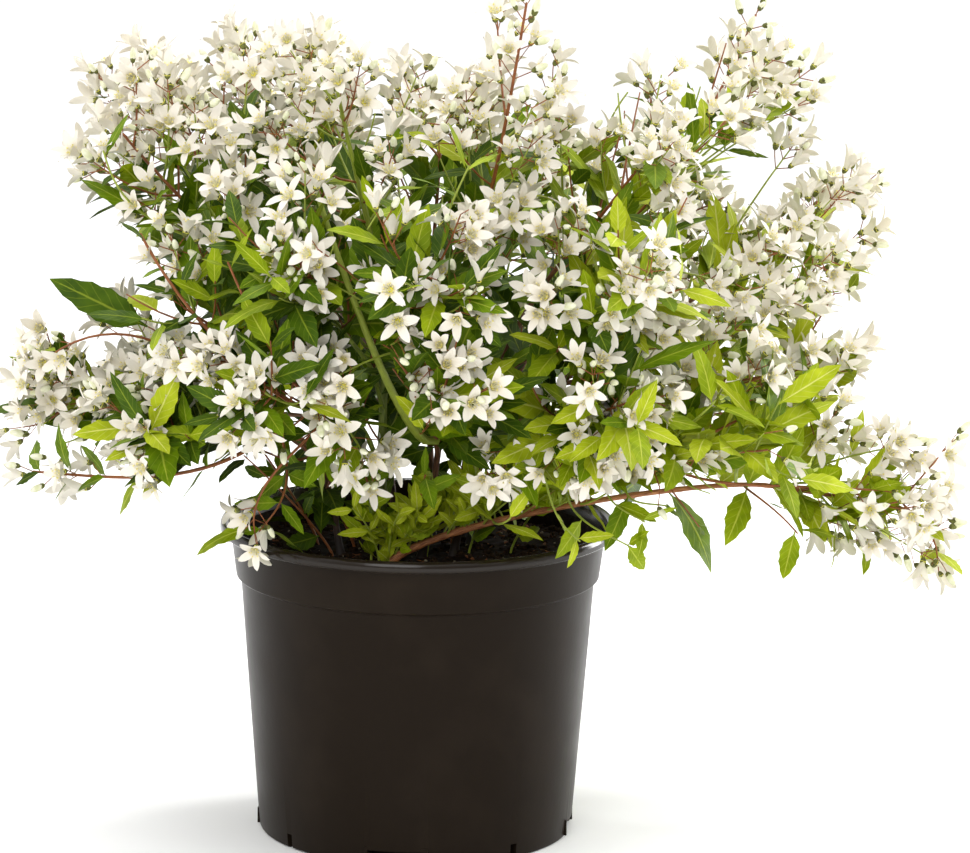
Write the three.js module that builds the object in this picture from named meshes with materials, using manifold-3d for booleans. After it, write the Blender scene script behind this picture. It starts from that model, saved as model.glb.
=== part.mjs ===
// A slender deutzia in full flower, in its black nursery pot.
// Millimetres, +Z up. The origin is the centre of the pot's underside and the front faces -Y.
// Every cane rises from the compost, forks into boughs, and each limb's tip carries one mass of twigs,
// leaves and blossom that keeps to its own space in the crown.

import * as THREE from 'three';
import { mergeVertices } from 'three/addons/utils/BufferGeometryUtils.js';
import Module from 'manifold-3d';

const wasm = await Module();
wasm.setup();
const { Manifold } = wasm;

// Driving dimensions

const GAP = 0.3;
const FINEST_EDGE = 0.004;
const UP = new THREE.Vector3(0, 0, 1);

const POT = {
  height: 151,
  footRadius: 75.4,
  footRound: 1.5,
  ledgeRadius: 84.8,
  ledgeHeight: 123.5,
  collarFootRadius: 87,
  collarTopRadius: 89.7,
  collarStep: 1.2,
  innerLedgeRise: 0.6,
  innerCollarRise: 2.4,
  lipRadius: 95,
  lipHeight: 6,
  lipWidth: 4.2,
  lipChamfer: 0.8,
  wall: 1.5,
  floor: 2,
  segments: 36,
};

// How far each corner of the lip lies inside the lip's radius, and above its foot.
const LIP_OUTLINE = [[0.9, 0.6], [0, 2.4], [0.3, 4.6], [1.7, POT.lipHeight]];

const WIDE_POCKET = { count: 4, turn: 263, width: 27, depth: 18, height: 7, holeRadius: 4.5 };
const NARROW_POCKET = { count: 4, turn: 308, width: 3.5, depth: 5, height: 7, holeRadius: 0 };

const COMPOST = { top: 138, flatRadius: 64, edgeDrop: 4, wallClearance: 3, spaceOverRim: 2 };

const STEM = {
  sides: 5, steps: 7, footReach: 24, rise: 62, ease: 62, thinning: 0.6, flare: 0.65, flareShare: 0.12,
  sunk: 4,
};
const BOUGH = { sides: 4, steps: 5, baseRadius: 1.3, tipRadius: 0.95, splay: 0.75, lead: 26, ease: 34 };

const CROWN = {
  heartHeight: 196, massRadius: 72, wallBetween: 0.2, limbClearance: 0.35, firstSeed: 7001, seedStep: 131,
};
const MASS_STEM = { entry: 44, forward: 28, rise: 5, baseRadius: 1.1, tipRadius: 0.8, steps: 2 };
const SHOOT = {
  nodes: { stem: [0.1, 0.4, 0.68, 0.94], bough: [0.12, 0.48, 0.84] },
  length: 41, sizes: [0.8, 1.1], baseRadius: 1, tipRadius: 0.6, splay: 58, lift: 0.3, lead: 0.2,
  leafShare: 0.5, leafSizes: [0.75, 1],
};
const LEAF = {
  length: 42, width: 17, thickness: 1, widest: 0.42, fold: 2, droop: 4, sunk: 0.1, lead: 0.6,
  sizes: [0.85, 1.15], firstPair: 0.12,
};
const FLOWER = {
  radius: 16.5, notch: 6.6, cup: 5.6, notchLift: 1.6, throat: 0.9, calyx: 3.8, hold: 2.6, sizes: [0.9, 1.08],
};
const RACEME = {
  leafyShare: 0.62, nodes: [0.76, 0.9], stalk: 11, stalkRadius: 0.7, stalkLead: 0.7, flowerSize: 0.6,
  spaceRadius: 128,
};

// One row for each cane: its turn about the pot (0 is right, 90 is back), its radius at the compost and
// the masses that it carries. The first mass sits on the cane's own tip, the others on boughs that leave
// it at the fork shares. A mass is given by its turn, its reach from the pot's axis, its height and, if
// its shoots are shorter, its fullness. One with a raceme runs on by that much outwards and upwards.
const CANES = [
  {
    turn: 347, radius: 1.8, foot: { turn: 248, reach: 44 }, rise: 18, ease: 30, forks: [0.36],
    masses: [
      { turn: 348, reach: 213, height: 171, fullness: 0.9 },
      { turn: 328, reach: 164, height: 201, fullness: 0.85 },
    ],
  },
  {
    turn: 8, radius: 1.8, forks: [0.55],
    masses: [
      { turn: 13, reach: 175, height: 271, raceme: { out: 50, up: 18 } },
      { turn: 0, reach: 176, height: 223, fullness: 0.9 },
    ],
  },
  {
    turn: 36, radius: 1.8, forks: [0.58, 0.36],
    masses: [
      { turn: 28, reach: 148, height: 313, raceme: { out: 45, up: 44 } },
      { turn: 39, reach: 192, height: 228 },
      { turn: 30, reach: 180, height: 185, fullness: 0.85 },
    ],
  },
  {
    turn: 74, radius: 1.7, forks: [0.5, 0.34],
    masses: [
      { turn: 82, reach: 61, height: 313 },
      { turn: 73, reach: 168, height: 266 },
      { turn: 65, reach: 166, height: 208 },
    ],
  },
  {
    turn: 112, radius: 1.8, forks: [0.55, 0.34],
    masses: [
      { turn: 125, reach: 104, height: 316 },
      { turn: 114, reach: 164, height: 261 },
      { turn: 105, reach: 155, height: 192 },
    ],
  },
  {
    turn: 150, radius: 1.7, forks: [0.45, 0.32],
    masses: [
      { turn: 152, reach: 127, height: 319 },
      { turn: 137, reach: 132, height: 253 },
      { turn: 143, reach: 151, height: 187, fullness: 0.85 },
    ],
  },
  {
    turn: 190, radius: 1.9, forks: [0.34],
    masses: [{ turn: 187, reach: 121, height: 313 }, { turn: 218, reach: 112, height: 250 }],
  },
  {
    turn: 182, radius: 1.7, foot: { turn: 205, reach: 40 }, rise: 30, ease: 70, forks: [0.25],
    masses: [
      { turn: 182, reach: 150, height: 202, fullness: 0.85 },
      { turn: 212, reach: 128, height: 202, fullness: 0.7 },
    ],
  },
  {
    turn: 232, radius: 2.4, forks: [0.46, 0.28],
    masses: [
      { turn: 236, reach: 60, height: 336 },
      { turn: 245, reach: 110, height: 274 },
      { turn: 242, reach: 128, height: 227, fullness: 0.75 },
    ],
  },
  {
    turn: 272, radius: 1.8, forks: [0.52, 0.34],
    masses: [
      { turn: 300, reach: 70, height: 324, raceme: { out: 48, up: 42 } },
      { turn: 271, reach: 130, height: 275 },
      { turn: 274, reach: 130, height: 232, fullness: 0.75 },
    ],
  },
  {
    turn: 312, radius: 1.8, forks: [0.54, 0.34],
    masses: [
      { turn: 324, reach: 112, height: 318 },
      { turn: 308, reach: 139, height: 273 },
      { turn: 305, reach: 141, height: 225, fullness: 0.75 },
    ],
  },
];

// Materials

const potPlastic = new THREE.MeshStandardMaterial({ color: 0x2b2825, roughness: 0.42, metalness: 0 });
const compostMix = new THREE.MeshStandardMaterial({ color: 0x1c1612, roughness: 0.95, metalness: 0 });
const caneBark = new THREE.MeshStandardMaterial({ color: 0x6e4a35, roughness: 0.7, metalness: 0 });
const boughBark = new THREE.MeshStandardMaterial({ color: 0x8a6a3c, roughness: 0.65, metalness: 0 });
const leafAndPetal = new THREE.MeshStandardMaterial({ color: 0xc9d2a8, roughness: 0.55, metalness: 0 });

// Solids from geometry

function signedVolume(position, index) {
  const [a, b, c] = [new THREE.Vector3(), new THREE.Vector3(), new THREE.Vector3()];
  let volume = 0;
  for (let i = 0; i < index.length; i += 3) {
    a.fromBufferAttribute(position, index[i]);
    b.fromBufferAttribute(position, index[i + 1]);
    c.fromBufferAttribute(position, index[i + 2]);
    volume += a.dot(b.cross(c)) / 6;
  }
  return volume;
}

// Only the positions are kept, so that corners shared by two faces become one, and faces that
// closed up on the axis of a turned shape are dropped.
function solidOf(geometry) {
  const bare = geometry.clone();
  bare.deleteAttribute('normal');
  bare.deleteAttribute('uv');
  const merged = mergeVertices(bare, 1e-4);
  const position = merged.getAttribute('position');
  const corners = merged.getIndex().array;
  const triangles = [];
  for (let i = 0; i < corners.length; i += 3) {
    const [a, b, c] = [corners[i], corners[i + 1], corners[i + 2]];
    if (a !== b && b !== c && c !== a) triangles.push(a, b, c);
  }
  if (signedVolume(position, triangles) < 0) triangles.reverse();
  return new Manifold(new wasm.Mesh({
    numProp: 3,
    vertProperties: new Float32Array(position.array),
    triVerts: new Uint32Array(triangles),
  }));
}

function meshOf(name, solid, material) {
  const shape = solid.getMesh();
  const geometry = new THREE.BufferGeometry();
  geometry.setAttribute('position', new THREE.BufferAttribute(new Float32Array(shape.vertProperties), 3));
  geometry.setIndex(new THREE.BufferAttribute(new Uint32Array(shape.triVerts), 1));
  geometry.computeVertexNormals();
  const mesh = new THREE.Mesh(geometry, material);
  mesh.name = name;
  return mesh;
}

function turnedSolid(profile) {
  const points = profile.map(([radius, height]) => new THREE.Vector2(radius, height));
  return solidOf(new THREE.LatheGeometry(points, POT.segments).rotateX(Math.PI / 2));
}

// A box given by its middle across, its inner and outer reach and its lowest and highest level,
// turned about the pot's axis.
function radialBox(turn, width, innerReach, outerReach, low, high) {
  const box = new THREE.BoxGeometry(outerReach - innerReach, width, high - low);
  box.translate((innerReach + outerReach) / 2, 0, (low + high) / 2);
  box.rotateZ(THREE.MathUtils.degToRad(turn));
  return solidOf(box);
}

// The pot and its compost

function potOuterProfile() {
  const lipFoot = POT.height - POT.lipHeight;
  return [
    [0, 0],
    [POT.footRadius - POT.footRound, 0],
    [POT.footRadius, POT.footRound],
    [POT.ledgeRadius, POT.ledgeHeight],
    [POT.collarFootRadius, POT.ledgeHeight + POT.collarStep],
    [POT.collarTopRadius, lipFoot],
    ...LIP_OUTLINE.map(([inset, level]) => [POT.lipRadius - inset, lipFoot + level]),
    [0, POT.height],
  ];
}

// The inside of the wall up to a given level, drawn in by a margin where something lies in the pot.
function potInnerProfile(margin) {
  return [
    [0, POT.floor + margin],
    [POT.footRadius - POT.wall - margin, POT.floor + margin],
    [POT.ledgeRadius - POT.wall - margin, POT.ledgeHeight + POT.innerLedgeRise],
    [POT.collarFootRadius - POT.wall - margin, POT.ledgeHeight + POT.innerCollarRise],
    [POT.collarTopRadius - POT.wall - margin, POT.height - POT.lipHeight],
  ];
}

function pocketPlaces(pocket) {
  return Array.from({ length: pocket.count }, (_, i) => pocket.turn + (360 / pocket.count) * i);
}

// The raised floor over each drain pocket, grown by a margin for what has to stay clear of it.
function pocketCover(pocket, turn, margin) {
  const cover = POT.wall + margin;
  const inner = POT.footRadius - pocket.depth - cover;
  const outer = POT.footRadius + POT.wall;
  return radialBox(turn, pocket.width + 2 * cover, inner, outer, POT.floor / 2, pocket.height + cover);
}

function pocketCut(pocket, turn) {
  const outer = POT.footRadius + 2 * POT.wall;
  let cut = radialBox(turn, pocket.width, POT.footRadius - pocket.depth, outer, -1, pocket.height);
  if (pocket.holeRadius > 0) {
    const hole = new THREE.CylinderGeometry(pocket.holeRadius, pocket.holeRadius, 4 * POT.wall, 16);
    hole.rotateX(Math.PI / 2);
    hole.translate(POT.footRadius - pocket.depth / 2, 0, pocket.height);
    hole.rotateZ(THREE.MathUtils.degToRad(turn));
    cut = cut.add(solidOf(hole));
  }
  return cut;
}

function potSolid() {
  const outside = turnedSolid(potOuterProfile());
  const rimInside = POT.lipRadius - POT.lipWidth;
  const inside = turnedSolid([
    ...potInnerProfile(0),
    [rimInside, POT.height - POT.lipChamfer],
    [rimInside + POT.lipChamfer, POT.height + POT.lipChamfer],
    [0, POT.height + POT.lipChamfer],
  ]);
  let pot = outside.subtract(inside);
  for (const pocket of [WIDE_POCKET, NARROW_POCKET]) {
    for (const turn of pocketPlaces(pocket)) {
      pot = pot.add(pocketCover(pocket, turn, 0).intersect(outside)).subtract(pocketCut(pocket, turn));
    }
  }
  return pot;
}

function compostSolid() {
  const edge = COMPOST.top - COMPOST.edgeDrop;
  const [axisPoint, foot, ledge, collarFoot, collarTop] = potInnerProfile(GAP);
  const climb = (edge - collarFoot[1]) / (collarTop[1] - collarFoot[1]);
  const edgeRadius = THREE.MathUtils.lerp(collarFoot[0], collarTop[0], climb);
  let compost = turnedSolid([
    axisPoint, foot, ledge, collarFoot, [edgeRadius, edge],
    [COMPOST.flatRadius, COMPOST.top], [0, COMPOST.top],
  ]);
  for (const pocket of [WIDE_POCKET, NARROW_POCKET]) {
    for (const turn of pocketPlaces(pocket)) compost = compost.subtract(pocketCover(pocket, turn, GAP));
  }
  return compost;
}

// Everything that the crown has to stay clear of round the pot, and the level of the flat cut.
function potSpace() {
  const grown = potOuterProfile().map(([radius, height]) => [radius > 0 ? radius + GAP : 0, height]);
  grown[0][1] = -GAP;
  grown[1][1] = -GAP;
  return turnedSolid(grown).add(rimCover()).subtract(solidOf(plantingSpace()));
}

function rimCover() {
  const [inner, outer] = [POT.lipRadius - POT.lipWidth - POT.lipChamfer, POT.lipRadius];
  const [low, high] = [POT.height - POT.lipChamfer, POT.height + GAP];
  return turnedSolid([[inner, low], [outer, low], [outer, high], [inner, high], [inner, low]]);
}

function plantingSpace() {
  const radius = POT.collarFootRadius - POT.wall - COMPOST.wallClearance;
  const depth = POT.height + COMPOST.spaceOverRim - COMPOST.top - GAP;
  const space = new THREE.CylinderGeometry(radius, radius, depth, POT.segments).rotateX(Math.PI / 2);
  return space.translate(0, 0, COMPOST.top + GAP + depth / 2);
}

// Limbs and twigs

function polar(turn, reach, height) {
  const angle = THREE.MathUtils.degToRad(turn);
  return new THREE.Vector3(reach * Math.cos(angle), reach * Math.sin(angle), height);
}

// A round bar bent along a curve: each ring of the bar goes to its station, at its own radius.
function tubeSolid(curve, radiusAt, sides, steps) {
  const bar = new THREE.CylinderGeometry(1, 1, 1, sides, steps);
  const frames = curve.computeFrenetFrames(steps, false);
  const stations = Array.from({ length: steps + 1 }, (_, i) => curve.getPointAt(i / steps));
  const position = bar.getAttribute('position');
  const corner = new THREE.Vector3();
  for (let i = 0; i < position.count; i++) {
    corner.fromBufferAttribute(position, i);
    const ring = Math.round((corner.y + 0.5) * steps);
    const radius = radiusAt(ring / steps);
    const place = stations[ring].clone();
    place.addScaledVector(frames.normals[ring], corner.x * radius);
    place.addScaledVector(frames.binormals[ring], -corner.z * radius);
    position.setXYZ(i, place.x, place.y, place.z);
  }
  return solidOf(bar);
}

function tapered(baseRadius, tipRadius) {
  return (share) => THREE.MathUtils.lerp(baseRadius, tipRadius, share);
}

function flared(baseRadius, tipRadius) {
  const taper = tapered(baseRadius, tipRadius);
  return (share) => taper(share) * (1 + STEM.flare * Math.max(0, 1 - share / STEM.flareShare) ** 2);
}

function grownBy(radiusAt, margin) {
  return (share) => radiusAt(share) + margin;
}

function massCentre(mass) {
  return polar(mass.turn, mass.reach, mass.height);
}

// A limb arrives at its mass pointing away from the crown's heart.
function massHeading(mass) {
  return massCentre(mass).sub(new THREE.Vector3(0, 0, CROWN.heartHeight)).normalize();
}

function limbTip(mass) {
  return massCentre(mass).addScaledVector(massHeading(mass), -MASS_STEM.entry);
}

function stemCurve(cane) {
  const foot = cane.foot ?? { turn: cane.turn, reach: STEM.footReach };
  const start = polar(foot.turn, foot.reach, COMPOST.top - STEM.sunk);
  const tip = limbTip(cane.masses[0]);
  const out = tip.clone().sub(start).setZ(0).normalize();
  const rise = cane.rise ?? STEM.rise;
  const first = start.clone().addScaledVector(UP, rise + STEM.sunk).addScaledVector(out, rise / 4);
  const last = tip.clone().addScaledVector(massHeading(cane.masses[0]), -(cane.ease ?? STEM.ease));
  return new THREE.CubicBezierCurve3(start, first, last, tip);
}

function boughCurve(stem, fork, mass) {
  const start = stem.getPointAt(fork);
  const tip = limbTip(mass);
  const toTip = tip.clone().sub(start).normalize();
  const leave = stem.getTangentAt(fork).lerp(toTip, BOUGH.splay).normalize();
  const first = start.clone().addScaledVector(leave, BOUGH.lead);
  const last = tip.clone().addScaledVector(massHeading(mass), -BOUGH.ease);
  return new THREE.CubicBezierCurve3(start, first, last, tip);
}

function largestBody(solid) {
  return solid.decompose().reduce((best, body) => (body.volume() > best.volume() ? body : best));
}

// Limbs are cut flat at the compost, and a bough is cut clear of the cane that it leaves.
function growLimbs() {
  const ground = radialBox(0, 2 * POT.lipRadius, -POT.lipRadius, POT.lipRadius, 0, COMPOST.top + GAP);
  const limbs = [];
  for (const cane of CANES) {
    const curve = stemCurve(cane);
    const radiusAt = flared(cane.radius, cane.radius * STEM.thinning);
    const stemShape = (margin) => tubeSolid(curve, grownBy(radiusAt, margin), STEM.sides, STEM.steps);
    limbs.push({
      kind: 'stem', curve, radiusAt, mass: cane.masses[0],
      solid: stemShape(0).subtract(ground), space: stemShape(CROWN.limbClearance),
    });
    cane.masses.slice(1).forEach((mass, i) => {
      const bough = boughCurve(curve, cane.forks[i], mass);
      const boughRadius = tapered(BOUGH.baseRadius, BOUGH.tipRadius);
      const shape = (margin) => tubeSolid(bough, grownBy(boughRadius, margin), BOUGH.sides, BOUGH.steps);
      limbs.push({
        kind: 'bough', curve: bough, radiusAt: boughRadius, mass,
        solid: largestBody(shape(0).subtract(stemShape(GAP))), space: shape(CROWN.limbClearance),
      });
    });
  }
  return limbs;
}

// Leaves and blossom

// A leaf is a flattened eight-sided lozenge, folded up along its midrib and drooping to its tip.
function leafGeometry(length) {
  const size = length / LEAF.length;
  const leaf = new THREE.OctahedronGeometry(1, 0);
  const position = leaf.getAttribute('position');
  for (let i = 0; i < position.count; i++) {
    const [along, across, over] = [position.getX(i), position.getY(i), position.getZ(i)];
    const x = along === 0 ? LEAF.widest * length : ((along + 1) / 2) * length;
    const y = (across * LEAF.width * size) / 2;
    const bend = Math.abs(across) * LEAF.fold - (along > 0 ? LEAF.droop * size : 0);
    position.setXYZ(i, x - LEAF.sunk, y, (over * LEAF.thickness) / 2 + bend);
  }
  return leaf;
}

// A flower is a five-pointed star with raised petals over a small calyx, opening along +Z.
function flowerGeometry(radius) {
  const size = radius / FLOWER.radius;
  const petals = 5;
  const flower = new THREE.SphereGeometry(1, 2 * petals, 2);
  const position = flower.getAttribute('position');
  for (let i = 0; i < position.count; i++) {
    const pole = position.getY(i);
    if (Math.abs(pole) > 0.5) {
      position.setXYZ(i, 0, 0, pole > 0 ? FLOWER.throat * size : -FLOWER.calyx * size);
      continue;
    }
    const angle = Math.atan2(position.getZ(i), position.getX(i));
    const isTip = Math.round((angle / Math.PI) * petals) % 2 === 0;
    const reach = (isTip ? FLOWER.radius : FLOWER.notch) * size;
    const lift = (isTip ? FLOWER.cup : FLOWER.notchLift) * size;
    position.setXYZ(i, reach * Math.cos(angle), reach * Math.sin(angle), lift);
  }
  return flower;
}

// The twig enters the flower's underside square to one of its faces, halfway between a petal and a
// notch, so the flower's own axis leans away from its twig.
function flowerOnTwig(radius, tip, along, roll) {
  const size = radius / FLOWER.radius;
  const faceTurn = Math.PI / 10;
  const lean = Math.PI / 4;
  const inward = new THREE.Vector3(-Math.cos(faceTurn), -Math.sin(faceTurn), 0);
  const entry = inward.clone().multiplyScalar(Math.sin(lean)).addScaledVector(UP, Math.cos(lean));
  const hold = inward.multiplyScalar(-FLOWER.hold * size);
  const turned = new THREE.Quaternion().setFromUnitVectors(entry, along);
  turned.premultiply(new THREE.Quaternion().setFromAxisAngle(along, roll));
  const flower = flowerGeometry(radius).translate(-hold.x, -hold.y, -hold.z);
  return flower.applyQuaternion(turned).translate(tip.x, tip.y, tip.z);
}

// Places a leaf with its root at a point, its midrib along an axis and its upper face turned up.
function leafOnTwig(length, place, axis) {
  const main = axis.clone().normalize();
  const side = new THREE.Vector3().crossVectors(UP, main);
  if (side.lengthSq() < 1e-6) side.set(1, 0, 0);
  side.normalize();
  const face = new THREE.Vector3().crossVectors(main, side);
  const basis = new THREE.Matrix4().makeBasis(main, side, face).setPosition(place);
  return leafGeometry(length).applyMatrix4(basis);
}

// Masses of foliage

function seededRandom(seed) {
  let state = seed >>> 0;
  return () => {
    state = (Math.imul(state, 1664525) + 1013904223) >>> 0;
    return state / 4294967296;
  };
}

// A mass's own space is a ball round its centre, cut by the planes halfway to its neighbours.
function keepsToItsSpace(solid, mass, centres) {
  const own = massCentre(mass);
  const reach = mass.raceme ? RACEME.spaceRadius : CROWN.massRadius;
  const corners = solid.getMesh().vertProperties;
  const corner = new THREE.Vector3();
  for (let i = 0; i < corners.length; i += 3) {
    corner.fromArray(corners, i);
    if (corner.distanceTo(own) > reach) return false;
    for (const other of centres) {
      const apart = other.distanceTo(own);
      if (apart < 1) continue;
      const margin = (other.distanceToSquared(corner) - own.distanceToSquared(corner)) / (2 * apart);
      if (margin < CROWN.wallBetween) return false;
    }
  }
  return true;
}

// True where a joined body has no sliver: no edge shorter, and no two corners closer, than the finest.
function isClean(solid) {
  const shape = solid.getMesh();
  const [corners, faces] = [shape.vertProperties, shape.triVerts];
  const [from, to] = [new THREE.Vector3(), new THREE.Vector3()];
  for (let i = 0; i < faces.length; i++) {
    const next = i % 3 === 2 ? i - 2 : i + 1;
    from.fromArray(corners, 3 * faces[i]);
    to.fromArray(corners, 3 * faces[next]);
    if (from.distanceTo(to) < FINEST_EDGE) return false;
  }
  const cloud = new THREE.BufferGeometry();
  cloud.setAttribute('position', new THREE.BufferAttribute(new Float32Array(corners), 3));
  return mergeVertices(cloud, FINEST_EDGE).getAttribute('position').count === corners.length / 3;
}

class Mass {
  constructor(limb, seed, centres, filledSpace) {
    this.limb = limb;
    this.random = seededRandom(seed);
    this.centres = centres;
    this.filledSpace = filledSpace;
    this.body = null;
  }

  // Joins a twig, leaf or flower to the body, unless it would leave the mass's space, touch a limb or
  // the pot, miss the twig that should carry it, or leave a sliver.
  add(solid) {
    if (!keepsToItsSpace(solid, this.limb.mass, this.centres)) return false;
    if (!solid.intersect(this.filledSpace).isEmpty()) return false;
    const joined = this.body.add(solid);
    if (joined.decompose().length !== 1 || !isClean(joined)) return false;
    this.body = joined;
    return true;
  }

  between([low, high]) {
    return low + (high - low) * this.random();
  }

  stemCurve() {
    const { fullness = 1, raceme } = this.limb.mass;
    const tip = this.limb.curve.getPointAt(1);
    const heading = this.limb.curve.getTangentAt(1);
    const start = tip.clone().addScaledVector(heading, GAP);
    const bend = tip.clone().addScaledVector(heading, MASS_STEM.entry);
    const end = bend.clone().addScaledVector(heading, raceme?.out ?? MASS_STEM.forward * fullness);
    end.addScaledVector(UP, raceme?.up ?? MASS_STEM.rise);
    return new THREE.QuadraticBezierCurve3(start, bend, end);
  }

  leafPair(curve, share, facing, length) {
    const place = curve.getPointAt(share);
    const along = curve.getTangentAt(share);
    for (const sign of [1, -1]) {
      const axis = along.clone().multiplyScalar(LEAF.lead).addScaledVector(facing, sign);
      this.add(solidOf(leafOnTwig(length * this.between(LEAF.sizes), place, axis)));
    }
  }

  flower(curve, size) {
    const radius = FLOWER.radius * size * this.between(FLOWER.sizes);
    const roll = this.between([0, 2 * Math.PI]);
    const flower = flowerOnTwig(radius, curve.getPointAt(1), curve.getTangentAt(1), roll);
    return this.add(solidOf(flower));
  }

  shoot(place, along, side, length) {
    const splay = THREE.MathUtils.degToRad(SHOOT.splay);
    const leave = along.clone().multiplyScalar(Math.cos(splay)).addScaledVector(side, Math.sin(splay));
    const end = place.clone().addScaledVector(leave, length).addScaledVector(UP, SHOOT.lift * length);
    end.addScaledVector(along, SHOOT.lead * length);
    const curve = new THREE.LineCurve3(place, end);
    const taper = tapered(SHOOT.baseRadius, SHOOT.tipRadius);
    if (!this.add(tubeSolid(curve, taper, 3, 1))) return;
    const facing = new THREE.Vector3().crossVectors(side, along).normalize();
    this.leafPair(curve, SHOOT.leafShare, facing, LEAF.length * this.between(SHOOT.leafSizes));
    this.flower(curve, 1);
  }

  flowerStalk(place, along, side) {
    const leave = along.clone().multiplyScalar(RACEME.stalkLead).add(side).normalize();
    const curve = new THREE.LineCurve3(place, place.clone().addScaledVector(leave, RACEME.stalk));
    const taper = tapered(RACEME.stalkRadius, RACEME.stalkRadius);
    if (this.add(tubeSolid(curve, taper, 3, 1))) this.flower(curve, RACEME.flowerSize);
  }

  // Calls back at each node of a curve with its two opposite sides, each pair square to the last.
  atNodes(curve, shares, turn, growSide) {
    shares.forEach((share, i) => {
      const along = curve.getTangentAt(share);
      const side = new THREE.Vector3().crossVectors(along, UP).normalize();
      side.applyAxisAngle(along, turn + (i * Math.PI) / 2);
      for (const sign of [1, -1]) growSide(share, along, side.clone().multiplyScalar(sign));
    });
  }

  grow() {
    const { fullness = 1, raceme } = this.limb.mass;
    const curve = this.stemCurve();
    const taper = tapered(MASS_STEM.baseRadius, MASS_STEM.tipRadius);
    this.body = tubeSolid(curve, taper, 3, MASS_STEM.steps);
    const turn = this.between([0, Math.PI]);
    const leafy = SHOOT.nodes[this.limb.kind].map((share) => share * (raceme ? RACEME.leafyShare : 1));
    this.atNodes(curve, leafy, turn, (share, along, side) => {
      this.shoot(curve.getPointAt(share), along, side, SHOOT.length * fullness * this.between(SHOOT.sizes));
    });
    const facing = new THREE.Vector3().crossVectors(curve.getTangentAt(leafy[0]), UP).normalize();
    facing.applyAxisAngle(curve.getTangentAt(leafy[0]), turn + Math.PI / 2);
    this.leafPair(curve, leafy[0] + LEAF.firstPair, facing, LEAF.length);
    if (raceme) {
      this.atNodes(curve, RACEME.nodes, turn, (share, along, side) => {
        this.flowerStalk(curve.getPointAt(share), along, side);
      });
    }
    this.flower(curve, raceme ? RACEME.flowerSize : 1);
    return this.body;
  }
}

// The whole plant in its pot

function twoDigits(number) {
  return String(number).padStart(2, '0');
}

function buildPlant() {
  const plant = new THREE.Group();
  plant.add(meshOf('pot', potSolid(), potPlastic));
  plant.add(meshOf('compost', compostSolid(), compostMix));

  const limbs = growLimbs();
  const counts = { stem: 0, bough: 0 };
  for (const limb of limbs) {
    counts[limb.kind] += 1;
    limb.name = `${limb.kind}_${twoDigits(counts[limb.kind])}`;
    plant.add(meshOf(limb.name, limb.solid, limb.kind === 'stem' ? caneBark : boughBark));
  }

  const filledSpace = Manifold.union([potSpace(), ...limbs.map((limb) => limb.space)]);
  const centres = limbs.map((limb) => massCentre(limb.mass));
  limbs.forEach((limb, i) => {
    const mass = new Mass(limb, CROWN.firstSeed + CROWN.seedStep * i, centres, filledSpace);
    plant.add(meshOf(`foliage_${twoDigits(i + 1)}`, mass.grow(), leafAndPetal));
  });
  return plant;
}

export default buildPlant();
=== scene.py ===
"""A slender deutzia in full flower in its black nursery pot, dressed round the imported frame.

Metres, +Z up. The origin is the centre of the pot's underside and the plant's front faces -Y. The canes,
the boughs and the places of the foliage are the frame's own, worked out from the same named sizes, and
every mass of foliage grows on from its limb's tip by the same seeded rule, carried to finer twigs.
"""

from __future__ import annotations

import logging
import math
from collections.abc import Callable, Iterable, Sequence
from dataclasses import dataclass, field
from enum import Enum

import bpy
import numpy as np
from mathutils import Matrix, Quaternion, Vector
from mathutils.kdtree import KDTree


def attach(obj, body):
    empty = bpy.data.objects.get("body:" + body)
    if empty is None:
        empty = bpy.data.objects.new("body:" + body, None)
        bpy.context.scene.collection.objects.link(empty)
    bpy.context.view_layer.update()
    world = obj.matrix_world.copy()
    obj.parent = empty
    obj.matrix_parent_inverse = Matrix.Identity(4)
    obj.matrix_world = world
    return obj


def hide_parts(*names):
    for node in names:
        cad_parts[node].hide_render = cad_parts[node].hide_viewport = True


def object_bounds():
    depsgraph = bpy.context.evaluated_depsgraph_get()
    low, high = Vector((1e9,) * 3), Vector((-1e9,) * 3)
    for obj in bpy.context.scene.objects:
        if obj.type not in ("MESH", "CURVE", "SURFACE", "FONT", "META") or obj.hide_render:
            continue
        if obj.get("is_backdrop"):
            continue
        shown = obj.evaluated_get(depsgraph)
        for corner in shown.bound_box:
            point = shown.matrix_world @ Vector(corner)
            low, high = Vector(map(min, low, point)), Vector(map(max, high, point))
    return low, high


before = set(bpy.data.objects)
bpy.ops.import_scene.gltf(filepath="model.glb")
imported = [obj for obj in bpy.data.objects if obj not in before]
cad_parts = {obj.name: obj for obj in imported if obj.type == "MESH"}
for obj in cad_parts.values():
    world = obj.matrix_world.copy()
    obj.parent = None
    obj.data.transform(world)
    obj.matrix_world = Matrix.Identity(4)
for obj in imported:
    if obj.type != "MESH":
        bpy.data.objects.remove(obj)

log = logging.getLogger("deutzia")

MM = 0.001
UP = Vector((0, 0, 1))
COMPOST_TOP = 138 * MM
TRIANGLES_A_PIECE = 180_000


# Colour and shader helpers


def linear(colour: str) -> tuple[float, float, float, float]:
    """Turns an sRGB hex colour into linear RGBA.

    Args:
        colour: The colour as #RRGGBB.

    Returns:
        The linear red, green and blue, and an alpha of one.
    """
    parts = [int(colour[i : i + 2], 16) / 255 for i in (1, 3, 5)]
    red, green, blue = (p / 12.92 if p <= 0.04045 else ((p + 0.055) / 1.055) ** 2.4 for p in parts)
    return (red, green, blue, 1.0)


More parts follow.
